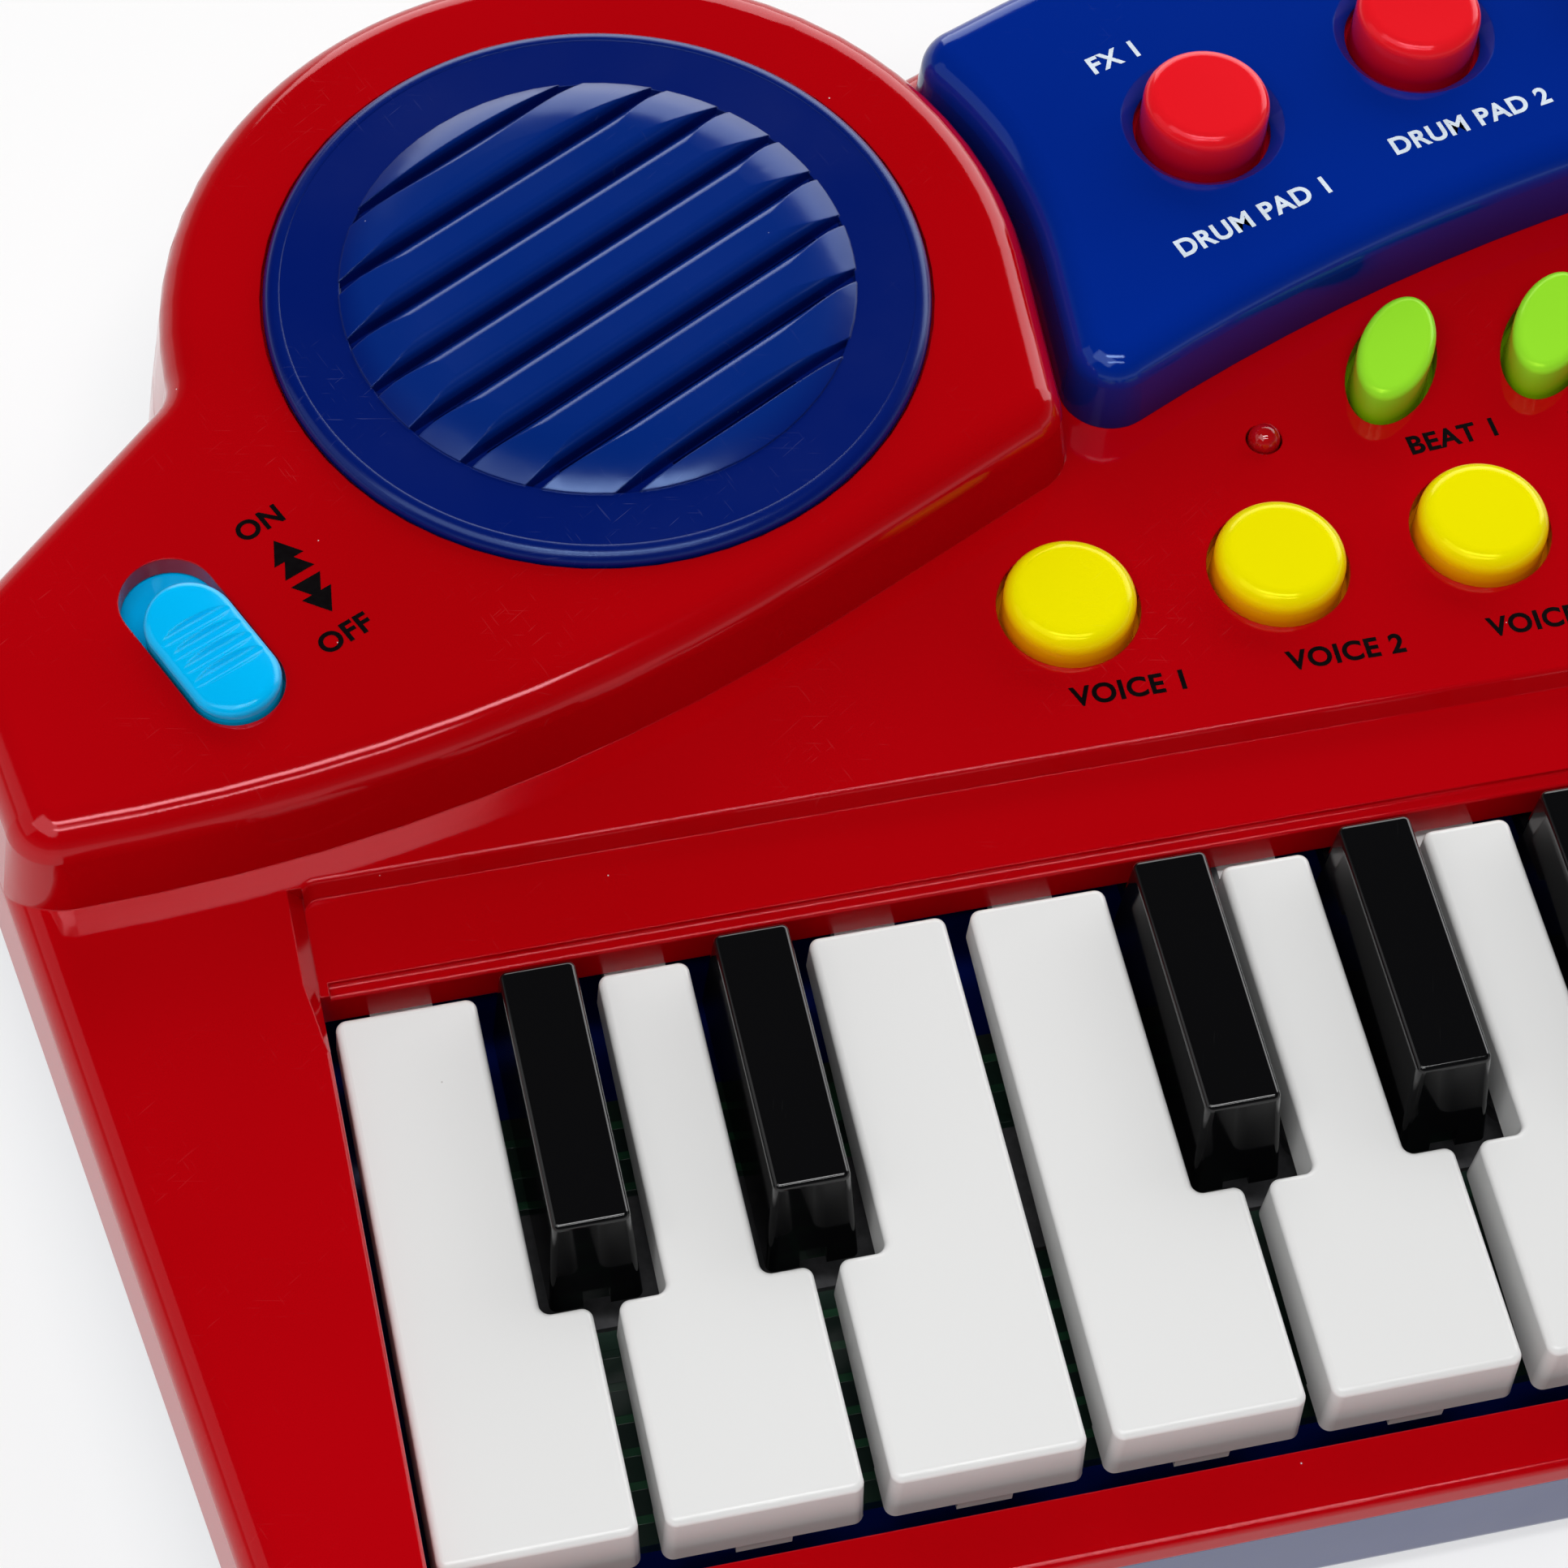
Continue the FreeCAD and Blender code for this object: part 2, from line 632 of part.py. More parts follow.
def oval(x, y, grow, tilt):
    """The plan of an oval button, grown by a clearance."""
    curve = Part.Ellipse(Vector(0, 0, 0), mm("green_long") + grow, mm("green_short") + grow)
    face = Part.Face(Part.Wire(curve.toShape()))
    face.rotate(Vector(0, 0, 0), Vector(0, 0, 1), tilt)
    face.translate(Vector(x, y, 0))
    return face


# ----------------------------------------------------------------------------- upper case
def case_outside():
    """The outside of the upper case: a deck with a rounded rim, and two raised lobes."""
    deck = tapered(CASE_PLAN, PARTING, DECK, DECK_INSET)
    deck = deck.makeFillet(3.5, flat_edges(deck, DECK))
    sunk = LOBE_SINK * DRAFT_SLOPE
    lobe = tapered(offset_face(LOBE_PLAN, sunk), DECK - LOBE_SINK, LOBE_TOP, LOBE_INSET + sunk)
    lobe = lobe.makeFillet(3.8, flat_edges(lobe, LOBE_TOP))
    return deck.multiFuse(both_sides(lobe))


def case_inside():
    """The hollow of the upper case, lower under the sunk strip."""
    inner = offset_face(CASE_PLAN, -WALL)
    deck = tapered(inner, PARTING - 1, DECK - WALL, (DECK - WALL - PARTING) * DRAFT_SLOPE)
    lobe_face = offset_face(LOBE_PLAN, -WALL)
    lobe = tapered(lobe_face, DECK - WALL - 2, LOBE_TOP - WALL, LOBE_INSET)
    strip = block(-WELL_HALF - WALL, mm("well_back") - 2, 20.8, WELL_HALF + WALL,
                  mm("recess_back") + 2, DECK)
    return deck.cut(strip).multiFuse(both_sides(lobe))


def strip_plan(back_edge):
    """The plan of the sunk strip behind the keys, whose ends are in line with the well's."""
    front_edge = mm("well_back") - 8
    corners = [(-WELL_HALF, front_edge), (WELL_HALF, front_edge), (WELL_HALF, back_edge),
               (-WELL_HALF, back_edge)]
    return round_corners(polygon(corners), 1.4)


def end_slope():
    """The wedge that widens the left end of the sunk strip, and runs out along the well."""
    back, top = mm("well_back"), DECK + 0.4
    inner_x = -WELL_HALF + 0.1
    sections = []
    for y, reach, foot in ((back - 9.0, 0.1, DECK - 0.1), (back + 0.5, 1.5, mm("white_top")),
                           (mm("recess_back") - 0.5, 1.5, mm("white_top"))):
        corners = [Vector(inner_x, y, foot), Vector(inner_x, y, top), Vector(-WELL_HALF - reach, y, top)]
        sections.append(Part.makePolygon(corners + corners[:1]))
    return Part.makeLoft(sections, True, True)


def make_top_shell():
    shell = case_outside().cut(case_inside())
    front, back = mm("well_front"), mm("well_back")
    skirt_foot = 9.0
    skirts = [
        block(-WELL_HALF - WALL, front - 2, skirt_foot, WELL_HALF + WALL, front, mm("rail_height")),
        block(-WELL_HALF - WALL, front - 4.8, PARTING + 0.2, WELL_HALF + WALL, front, mm("rail_height")),
        block(-WELL_HALF - 2, front - 2, skirt_foot, -WELL_HALF, back, DECK - 1),
        block(WELL_HALF, front - 2, skirt_foot, WELL_HALF + 2, back, DECK - 1),
        block(-WELL_HALF - 1, back, 18.4, WELL_HALF + 1, back + 2, 21.5),
        block(-WELL_HALF, 65.0, mm("hinge_height") + mm("knuckle_radius") + 0.4, WELL_HALF, 67.0, 21.5),
    ]
    bosses = []
    for (x, y), roof in zip(SCREW_PLACES, SCREW_POST_ROOFS):
        bosses += both_sides(round_bar(x, y, PARTING, roof, SCREW_POST_RADIUS))
    shell = shell.multiFuse(skirts + bosses).removeSplitter()

    rail = mm("rail_height")
    recess_floor = mm("white_top")
    strip_back = mm("recess_back")
    recess = lofted(strip_plan(strip_back), DECK + 0.01, strip_plan(strip_back - 0.8), recess_floor)
    openings = [
        block(-WELL_HALF, -40, rail, WELL_HALF, front + 0.01, 60),
        block(-WELL_HALF, front, 0, WELL_HALF, back, 60),
        block(-WELL_HALF, back - 5, recess_floor, WELL_HALF, back + 0.01, 60),
        block(-WELL_HALF + 0.9, back - 1, recess_floor - 0.6, WELL_HALF - 0.9, back + 1.3, DECK),
        recess,
    ]
    for x, y in on_both_sides(YELLOW_PLACES):
        openings.append(round_bar(x, y, 20, 30, mm("button_hole")))
    for x, y in on_both_sides(RED_PLACES):
        openings.append(round_bar(x, y, 20, 30, 4.2))
    for x, y in GREEN_PLACES:
        hole = prism(oval(x, y, 0.45, mm("green_tilt")), 20, 30)
        openings += both_sides(hole)
    openings.append(round_bar(LED_PLACE[0], LED_PLACE[1], 20, 30, 1.75))
    grille_hole = round_bar(-LOBE_X, LOBE_Y, 30, 40, 29.0)
    grille_seat = round_bar(-LOBE_X, LOBE_Y, LOBE_TOP - 1.0, 40, mm("ring_radius") + 0.3)
    openings += both_sides(grille_hole) + both_sides(grille_seat)
    slot_radius = mm("slot_width") / 2.0
    openings.append(prism(stadium(mm("slot_run"), slot_radius, SLOT_START), 30, 40))
    for x, y in SCREW_PLACES:
        openings += both_sides(round_bar(x, y, PARTING - 0.1, PARTING + 5.0, 1.5))
    shell = shell.cut(openings).removeSplitter()

    def rail_edge(edge):
        return edge.BoundBox.YMax < -5 and edge.BoundBox.XLength > 100

    def well_edge(edge):
        box = edge.BoundBox
        return abs(box.Center.x) < WELL_HALF + 0.1 and box.YMax < mm("recess_back") + 0.1

    def ledge_edge(edge):
        return edge.BoundBox.XLength > 100

    shell = shell.makeFillet(0.9, flat_edges(shell, rail, rail_edge))
    shell = shell.makeFillet(0.55, flat_edges(shell, DECK, well_edge))
    shell = shell.makeFillet(0.35, flat_edges(shell, recess_floor - 0.6, ledge_edge))
    shell = shell.cut(both_sides(end_slope()))
    return keep_shape(shell, "top_shell")


make_top_shell()


# ----------------------------------------------------------------------------- lower case
def make_bottom_shell():
    floor = mm("floor_height")
    inset = (PARTING - floor) * math.tan(math.radians(3.0))
    outside = tapered(offset_face(CASE_PLAN, -inset), floor, PARTING, -inset)
    outside = outside.makeFillet(2.5, flat_edges(outside, floor))
    inner = offset_face(CASE_PLAN, -inset - WALL)
    hollow = tapered(inner, floor + 2.0, PARTING + 0.01, -inset)
    shell = outside.cut(hollow)

    extras = []
    for x, y in FOOT_PLACES:
        extras += both_sides(round_bar(x, y, 0, floor + 1, 6.0))
    for x, y in SCREW_PLACES:
        extras += both_sides(round_bar(x, y, floor + 1, PARTING, SCREW_POST_RADIUS))
    hinge_y, hinge_z = mm("hinge_line"), mm("hinge_height")
    extras.append(block(-WELL_HALF, hinge_y - 3.4, floor + 1, WELL_HALF, hinge_y + 3.6, hinge_z - 0.8))
    extras.append(block(-BAY_HALF - 1.6, BAY_FRONT - 1.6, floor, BAY_HALF + 1.6, BAY_BACK + 1.6,
                        BAY_ROOF + 1.5))
    extras.append(block(-BAY_HALF - 3.8, DOOR_SCREW_Y - 6.4, floor, BAY_HALF + 3.8, BAY_BACK + 3.8,
                        floor + 3.8))
    extras.append(round_bar(0, DOOR_SCREW_Y, floor + 1, 10.0, 3.4))
    shell = shell.multiFuse(extras).removeSplitter()

    groove = Part.makeCylinder(mm("knuckle_radius") + 0.3, 2 * WELL_HALF + 2,
                               Vector(-WELL_HALF - 1, hinge_y, hinge_z), Vector(1, 0, 0))
    openings = [
        groove,
        block(-BAY_HALF, BAY_FRONT, floor - 1, BAY_HALF, BAY_BACK, BAY_ROOF),
        block(-BAY_HALF - 2.0, DOOR_SCREW_Y - 4.5, floor - 1, BAY_HALF + 2.0, BAY_BACK + 2.0, floor + 2.1),
        round_bar(0, DOOR_SCREW_Y, floor, 9.0, 1.3),
    ]
    for x, y in SCREW_PLACES:
        openings += both_sides(round_bar(x, y, floor - 1, floor + 6.0, 3.1))
        openings += both_sides(round_bar(x, y, floor, PARTING + 1, 1.7))
    return keep_shape(shell.cut(openings).removeSplitter(), "bottom_shell")


make_bottom_shell()


# ----------------------------------------------------------------------------- drum panel
def make_drum_panel():
    rise = DRUM_TOP - DECK
    inset = rise * math.tan(math.radians(mm("drum_draft")))
    outside = tapered(DRUM_PLAN, DECK, DRUM_TOP, inset)
    outside = outside.makeFillet(mm("drum_round"), flat_edges(outside, DRUM_TOP))
    hollow = tapered(offset_face(DRUM_PLAN, -WALL), DECK - 0.01, DRUM_TOP - WALL, inset)
    openings = [hollow]
    dish_radius, dish_depth = 8.0, 1.2
    for x, y in on_both_sides(RED_PLACES):
        openings.append(round_bar(x, y, 20, 40, mm("button_hole")))
        openings.append(Part.makeCone(mm("button_hole"), dish_radius, dish_depth,
                                      Vector(x, y, DRUM_TOP - dish_depth)))
    return keep_shape(outside.cut(openings).removeSplitter(), "drum_panel")


make_drum_panel()


# ----------------------------------------------------------------------------- speakers
def turned(profile, x, y):
    """A solid of revolution about an upright axis, from (radius, height) corners."""
    corners = [Vector(radius, 0, height) for radius, height in profile]
    face = Part.Face(Part.makePolygon(corners + corners[:1]))
    solid = face.revolve(Vector(0, 0, 0), Vector(0, 0, 1), 360)
    solid.translate(Vector(x, y, 0))
    return solid


def crowned_bar(middle, half, foot, crown, soft):
    """A long bar along X whose two upper edges are fully rounded."""
    low, high = middle - half, middle + half
    slope = soft * math.sin(math.pi / 4.0)
    edges = [Part.makeLine(Vector(0, low, foot), Vector(0, high, foot)),
             Part.makeLine(Vector(0, high, foot), Vector(0, high, crown - soft)),
             Part.Arc(Vector(0, high, crown - soft), Vector(0, high - soft + slope, crown - soft + slope),
                      Vector(0, high - soft, crown)).toShape(),
             Part.makeLine(Vector(0, high - soft, crown), Vector(0, low + soft, crown)),
             Part.Arc(Vector(0, low + soft, crown), Vector(0, low + soft - slope, crown - soft + slope),
                      Vector(0, low, crown - soft)).toShape(),
             Part.makeLine(Vector(0, low, crown - soft), Vector(0, low, foot))]
    return Part.Face(Part.Wire(edges))


def grille_dome(zone, foot, flat, crown):
    """The rounded cushion that the bars are cut from."""
    rim, reach = flat + 0.2, 6.5
    drop = crown - rim
    curve_radius = (reach ** 2 + drop ** 2) / (2.0 * drop)
    half_angle = math.asin(reach / curve_radius) / 2.0
    top_left, top_right = Vector(0, 0, crown), Vector(zone - reach, 0, crown)
    edge_top = Vector(zone, 0, rim)
    middle = top_right + Vector(math.sin(half_angle), 0, math.cos(half_angle) - 1.0) * curve_radius
    edges = [Part.makeLine(Vector(0, 0, foot), Vector(zone, 0, foot)),
             Part.makeLine(Vector(zone, 0, foot), edge_top),
             Part.Arc(edge_top, middle, top_right).toShape(),
             Part.makeLine(top_right, top_left), Part.makeLine(top_left, Vector(0, 0, foot))]
    return Part.Face(Part.Wire(edges)).revolve(Vector(0, 0, 0), Vector(0, 0, 1), 360)


def make_grille():
    """A flat ring with a rounded rim, whose middle is a row of crowned bars with slots between."""
    ring_radius, zone = mm("ring_radius"), mm("grille_zone")
    foot, flat, crown = LOBE_TOP - 0.9, LOBE_TOP + 1.1, LOBE_TOP + 2.8
    bed = flat - 0.9
    ring = round_bar(0, 0, foot, flat, ring_radius)
    ring = ring.makeFillet(1.3, flat_edges(ring, flat))
    ring = ring.cut(round_bar(0, 0, bed, flat + 1, zone - 0.1))
    spigot = round_bar(0, 0, foot - 2.4, foot + 0.1, 28.7).cut(round_bar(0, 0, foot - 3, foot + 1, 26.9))
    dome = grille_dome(zone, foot, flat, crown)
    pitch = mm("bar_pitch")
    bars, slits = [], []
    for step in range(-4, 5):
        middle = step * pitch
        bar = crowned_bar(middle, pitch / 2.0 - 0.62, foot, crown, 1.2).extrude(Vector(2 * zone + 4, 0, 0))
        bar.translate(Vector(-zone - 2, 0, 0))
        bars.append(bar.common(dome))
    for step in range(8):
        middle = (step - 3.5) * pitch
        reach = math.sqrt((zone - 2.6) ** 2 - middle ** 2)
        slits.append(block(-reach, middle - 0.52, foot - 1, reach, middle + 0.52, bed + 0.01))
    grille = ring.multiFuse([spigot] + bars).cut(slits).removeSplitter()
    grille.rotate(Vector(0, 0, 0), Vector(0, 0, 1), mm("bar_tilt"))
    grille.translate(Vector(-LOBE_X, LOBE_Y, 0))
    return grille


keep_shape(Part.makeCompound(both_sides(make_grille())), "speaker_grilles")

DRIVER_PROFILE = [(0, 14.0), (15.0, 14.0), (15.0, 21.5), (12.0, 22.0), (24.0, 29.0), (28.0, 29.3),
                  (28.0, 31.0), (25.5, 31.0), (24.5, 30.2), (9.0, 24.0), (5.0, 25.6), (0, 26.3)]
driver = turned(DRIVER_PROFILE, -LOBE_X, LOBE_Y)
keep_shape(Part.makeCompound(both_sides(driver)), "speaker_drivers")


# ----------------------------------------------------------------------------- buttons
def make_round_button(label, x, y, top, flange_top, soft, stem_foot=None):
    """A tapered round button with a rounded top edge, a flange that holds it in, and a stem."""
    zero = Size(0.0, "0")
    body = new_body(label, x, y + KEY_FRONT.value)
    cap_sketch = new_sketch(body, "cap_outline", flange_top)
    add_circle(cap_sketch, zero, zero, cell("button_radius"))
    cap = add_pad(body, cap_sketch, "cap", top - flange_top, zero + 1.5)
    add_fillet(body, cap, "top_edge", soft, lambda edge: edge_heights(edge)[0] > top.value - 0.01)
    flange_sketch = new_sketch(body, "flange_outline", flange_top - 1.2)
    add_circle(flange_sketch, zero, zero, cell("button_radius") + 1.2)
    add_pad(body, flange_sketch, "flange", 1.2)
    if stem_foot is not None:
        stem_sketch = new_sketch(body, "stem_outline", stem_foot)
        add_circle(stem_sketch, zero, zero, 3.4)
        add_pad(body, stem_sketch, "stem", flange_top - stem_foot - 0.6)
    return body


def make_oval_button(label, x, y, tilt):
    """A slanting oval button: a tapered cap on a wider flange."""
    low, top = DECK - WALL - 0.4, cell("green_top")
    pieces = []
    sizes = [("cap", 0.0, top - low, low, -1.5), ("flange", 1.2, 1.2, low - 1.2, 0.0)]
    for name, grow, height, foot, taper in sizes:
        curve = doc.addObject("Part::Ellipse", name + "_outline")
        curve.MajorRadius = number(cell("green_long") + grow)
        curve.MinorRadius = number(cell("green_short") + grow)
        bind(curve, "MajorRadius", cell("green_long") + grow)
        bind(curve, "MinorRadius", cell("green_short") + grow)
        curve.Placement = Placement(Vector(0, 0, foot), Rotation())
        solid = doc.addObject("Part::Extrusion", name)
        solid.Base = curve
        solid.DirMode = "Custom"
        solid.Dir = Vector(0, 0, 1)
        solid.LengthFwd = number(height)
        bind(solid, "LengthFwd", height)
        solid.Solid = True
        solid.TaperAngle = taper
        doc.recompute()
        if name == "cap":
            rounded = doc.addObject("Part::Fillet", "cap_rounded")
            rounded.Base = solid
            edges = [(place + 1, 1.0, 1.0) for place, edge in enumerate(solid.Shape.Edges)
                     if edge_heights(edge)[0] > top.value - 0.01]
            rounded.Edges = edges
            solid = rounded
        pieces.append(solid)
    whole = doc.addObject("Part::MultiFuse", label)
    whole.Shapes = pieces
    whole.Placement = Placement(Vector(x, y + KEY_FRONT.value, 0), Rotation(Vector(0, 0, 1), tilt))
    return keep(whole, label)


deck_flange = cell("deck_height") - cell("case_wall") - 0.4
drum_flange = cell("drum_height") - cell("case_wall") - 0.4
for place, (x, y) in enumerate(on_both_sides(YELLOW_PLACES), start=1):
    make_round_button("yellow_button_%d" % place, x, y, cell("yellow_top"), deck_flange, 1.8)
for place, (x, y) in enumerate(on_both_sides(RED_PLACES), start=1):
    make_round_button("drum_button_%d" % place, x, y, cell("red_top"), drum_flange, 1.4, 21.0)
for place, (x, y) in enumerate(on_both_sides(GREEN_PLACES), start=1):
    slant = mm("green_tilt") if x < 0 else 180.0 - mm("green_tilt")
    make_oval_button("green_button_%d" % place, x, y, slant)


# ----------------------------------------------------------------------------- power switch
def along_slot(shape, distance, height):
    """Turns a shape made along +X to the switch's direction, and moves it along the slot."""
    shape.rotate(Vector(0, 0, 0), Vector(0, 0, 1), math.degrees(math.atan2(SLOT_WAY[1], SLOT_WAY[0])))
    start = Vector(SLOT_START[0], SLOT_START[1], height)
    shape.translate(start + Vector(SLOT_WAY[0], SLOT_WAY[1], 0) * distance)
    return shape


def make_power_knob():
    """The power switch's knob at its OFF end: a crowned, grooved grip on a wide sliding plate."""
    clearance, plate_margin = 0.3, 4.6
    run = mm("knob_run")
    radius = mm("slot_width") / 2.0 - clearance
    top = LOBE_TOP + 1.9
    plate_top = LOBE_TOP - WALL - 0.2
    crown_radius, groove_radius, groove_count, groove_pitch = 13.0, 0.9, 4, 1.75
    crown = Part.makeCylinder(crown_radius, 40, Vector(-20, 0, 0), Vector(1, 0, 0))
    grip = prism(stadium(run, radius, SLOT_START), plate_top - 0.5, top + 1.0)
    grip = grip.common(along_slot(crown, run / 2.0, top - crown_radius))
    grip = grip.makeFillet(0.9, [edge for edge in grip.Edges if edge.BoundBox.ZMin > top - 2.0])
    plate = prism(stadium(run, radius + plate_margin, SLOT_START), plate_top - 1.2, plate_top)
    grooves = []
    for step in range(groove_count):
        groove = Part.makeCylinder(groove_radius, 12, Vector(0, -6, 0), Vector(0, 1, 0))
        distance = run / 2.0 + (step - (groove_count - 1) / 2.0) * groove_pitch
        grooves.append(along_slot(groove, distance, top + groove_radius - 0.5))
    return keep_shape(grip.fuse(plate).cut(grooves).removeSplitter(), "power_switch_knob")


make_power_knob()

# ----------------------------------------------------------------------------- inner pieces
KEY_BOARD_HALF, KEY_BOARD_LOW = 176.0, 8.0
MAT_BASE, MAT_DOME, MAT_DOME_RADIUS, MAT_DOME_Y = 0.8, 1.6, 3.0, 30.0
PAD_RADIUS, PAD_RISE = 4.0, 0.7
LED_RADIUS = 1.55
board_low = cell("board_height")
board_top = board_low + cell("board_thickness")
key_board_top = cell("board_thickness") + KEY_BOARD_LOW
button_board = group("Part::MultiFuse", [
    make_box(-112, 72, board_low, 112, 103.5, board_top),
    make_box(-92, 103, board_low, -26, 146, board_top),
    make_box(26, 103, board_low, 92, 146, board_top),
], "button_board")
key_board = make_box(-KEY_BOARD_HALF, 4, KEY_BOARD_LOW, KEY_BOARD_HALF, 46, key_board_top)
join_objects("Part::Compound", [key_board, button_board], "circuit_boards")

mats = [make_box(-KEY_BOARD_HALF, 24, key_board_top, KEY_BOARD_HALF, 36, key_board_top + MAT_BASE)]
for index in range(int(mm("white_count"))):
    centre = cell("white_pitch") * (index + 0.5 - mm("white_count") / 2.0)
    mats.append(make_cylinder(centre, MAT_DOME_Y, key_board_top + MAT_BASE,
                              key_board_top + MAT_BASE + MAT_DOME, MAT_DOME_RADIUS))
key_mat = group("Part::MultiFuse", mats, "key_contact_strip")
button_places = on_both_sides(YELLOW_PLACES) + on_both_sides(GREEN_PLACES) + on_both_sides(RED_PLACES)
pads = [make_cylinder(x, y, board_top, board_top + PAD_RISE, PAD_RADIUS) for x, y in button_places]
join_objects("Part::Compound", [key_mat] + pads, "contact_mats")

led_dome = doc.addObject("Part::Sphere", "led_dome")
led_dome.Radius = LED_RADIUS
led_dome.Placement = Placement(Vector(LED_PLACE[0], LED_PLACE[1], DECK), Rotation())
led_stem = make_cylinder(LED_PLACE[0], LED_PLACE[1], board_top, cell("deck_height"), LED_RADIUS)
join_objects("Part::MultiFuse", [led_stem, led_dome], "power_led")


# ----------------------------------------------------------------------------- batteries
CELL_RADIUS, CELL_LENGTH, CELL_PITCH, CELL_HEIGHT = 7.2, 49.2, 14.9, 11.7
TIP_RADIUS, TIP_LENGTH = 2.7, 1.2


def lying_cylinder(name, x, y, radius, length):
    """A round bar that lies along -Y from a point, at the height of the batteries."""
    cylinder = doc.addObject("Part::Cylinder", name)
    cylinder.Radius = radius
    cylinder.Height = length
    cylinder.Placement = Placement(Vector(x, y, CELL_HEIGHT), Rotation(Vector(1, 0, 0), 90))
    return cylinder


cells = []
for step in (-1, 0, 1):
    x, jacket_y = step * CELL_PITCH, BAY_BACK - TIP_LENGTH
    jacket = lying_cylinder("battery_jacket", x, jacket_y, CELL_RADIUS, CELL_LENGTH)
    tip_y = BAY_BACK if step == 0 else jacket_y - CELL_LENGTH
    tip = lying_cylinder("battery_tip", x, tip_y, TIP_RADIUS, TIP_LENGTH)
    cells.append(group("Part::MultiFuse", [jacket, tip], "battery"))
join_objects("Part::Compound", cells, "batteries")


def make_battery_door():
    """A flat door with a row of grip ribs and a screw hole, flush in the underside."""
    low, high = mm("floor_height") + 0.1, mm("floor_height") + 1.9
    plate = block(-BAY_HALF - 1.7, DOOR_SCREW_Y - 4.2, low, BAY_HALF + 1.7, BAY_BACK + 1.7, high)
    upright = [edge for edge in plate.Edges if edge.BoundBox.ZLength > 1.0]
    plate = plate.makeFillet(1.5, upright)
    ribs = [block(-12, BAY_BACK - 4 - step * 2.4, low - 0.6, 12, BAY_BACK - 2.8 - step * 2.4, low)
            for step in range(4)]
    hole = round_bar(0, DOOR_SCREW_Y, 0, 10, 1.5)
    return keep_shape(plate.multiFuse(ribs).cut(hole).removeSplitter(), "battery_door")


make_battery_door()


def screw(x, y, head_low, head_height, shank_top, head_radius, shank_radius):
    """A pan-head screw seen from below, with a cross cut in its head."""
    solid = round_bar(x, y, head_low, head_low + head_height, head_radius)
    solid = solid.fuse(round_bar(x, y, head_low, shank_top, shank_radius))
    arm = head_radius * 0.62
    slots = [block(x - arm, y - 0.35, head_low - 1, x + arm, y + 0.35, head_low + 0.8),
             block(x - 0.35, y - arm, head_low - 1, x + 0.35, y + arm, head_low + 0.8)]
    return solid.cut(slots).removeSplitter()


screws = []
for x, y in SCREW_PLACES:
    screws += both_sides(screw(x, y, mm("floor_height") + 4.0, 2.0, PARTING + 4.5, 2.9, 1.5))
screws.append(screw(0, DOOR_SCREW_Y, mm("floor_height") - 1.2, 1.3, 8.0, 2.6, 1.3))
keep_shape(Part.makeCompound(screws), "case_screws")

# ----------------------------------------------------------------------------- check and write
doc.recompute()
for item in doc.Objects:
    if "Invalid" in item.State or "Error" in item.State:
        raise ValueError("%s did not compute: %s" % (item.Label, item.State))
for part in parts:
    if part.Shape.isNull() or not part.Shape.isValid():
        raise ValueError("%s has no valid shape" % part.Label)

os.makedirs("parts", exist_ok=True)
for part in parts:
    part.Shape.exportStep(os.path.join("parts", part.Label + ".step"))
    print("%-20s %2d solid(s) %9.1f mm3" % (part.Label, len(part.Shape.Solids), part.Shape.Volume))
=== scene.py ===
"""Looks for the toy keyboard: camera, studio, procedural plastics, printed labels and grille rims."""
import json
import math

import bmesh
import bpy
from mathutils import Matrix, Vector


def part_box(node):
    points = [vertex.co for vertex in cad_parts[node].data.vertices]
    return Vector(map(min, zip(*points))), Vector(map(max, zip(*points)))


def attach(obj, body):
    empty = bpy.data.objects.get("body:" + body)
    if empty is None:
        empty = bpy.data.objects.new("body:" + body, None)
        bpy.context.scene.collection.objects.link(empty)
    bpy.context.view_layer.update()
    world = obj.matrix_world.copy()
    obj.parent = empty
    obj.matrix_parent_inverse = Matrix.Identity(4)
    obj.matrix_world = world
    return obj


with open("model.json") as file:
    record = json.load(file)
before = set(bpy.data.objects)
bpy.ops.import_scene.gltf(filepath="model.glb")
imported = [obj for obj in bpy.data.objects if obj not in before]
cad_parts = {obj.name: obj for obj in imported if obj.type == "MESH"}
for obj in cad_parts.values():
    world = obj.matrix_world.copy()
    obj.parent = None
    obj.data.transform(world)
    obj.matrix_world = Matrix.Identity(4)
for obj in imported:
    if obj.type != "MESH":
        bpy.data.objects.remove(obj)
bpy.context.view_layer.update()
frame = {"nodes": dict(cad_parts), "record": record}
scene = bpy.context.scene
MM = 0.001


def link(obj):
    scene.collection.objects.link(obj)
    return obj


# ------------------------------------------------------------------ camera
AZIMUTH, ELEVATION, ROLL = math.radians(-16.012), math.radians(58.538), math.radians(4.153)
CAMERA_PLACE = Vector((-190.94, -205.62, 350.47)) * MM
FOCAL_LENGTH, SENSOR_WIDTH = 97.45, 36.0


def make_camera():
    """A camera that looks down at the left half of the keyboard, a little rolled."""
    back = Vector((math.sin(AZIMUTH) * math.cos(ELEVATION), -math.cos(AZIMUTH) * math.cos(ELEVATION),
                   math.sin(ELEVATION)))
    right = (-back).cross(Vector((0, 0, 1))).normalized()
    up = right.cross(-back)
    turned_right = right * math.cos(ROLL) + up * math.sin(ROLL)
    turned_up = up * math.cos(ROLL) - right * math.sin(ROLL)
    data = bpy.data.cameras.new("camera")
    data.lens = FOCAL_LENGTH
    data.sensor_width = SENSOR_WIDTH
    data.clip_start = 0.01
    camera = link(bpy.data.objects.new("camera", data))
    turn = Matrix((turned_right, turned_up, back)).transposed().to_4x4()
    camera.matrix_world = Matrix.Translation(CAMERA_PLACE) @ turn
    scene.camera = camera


make_camera()


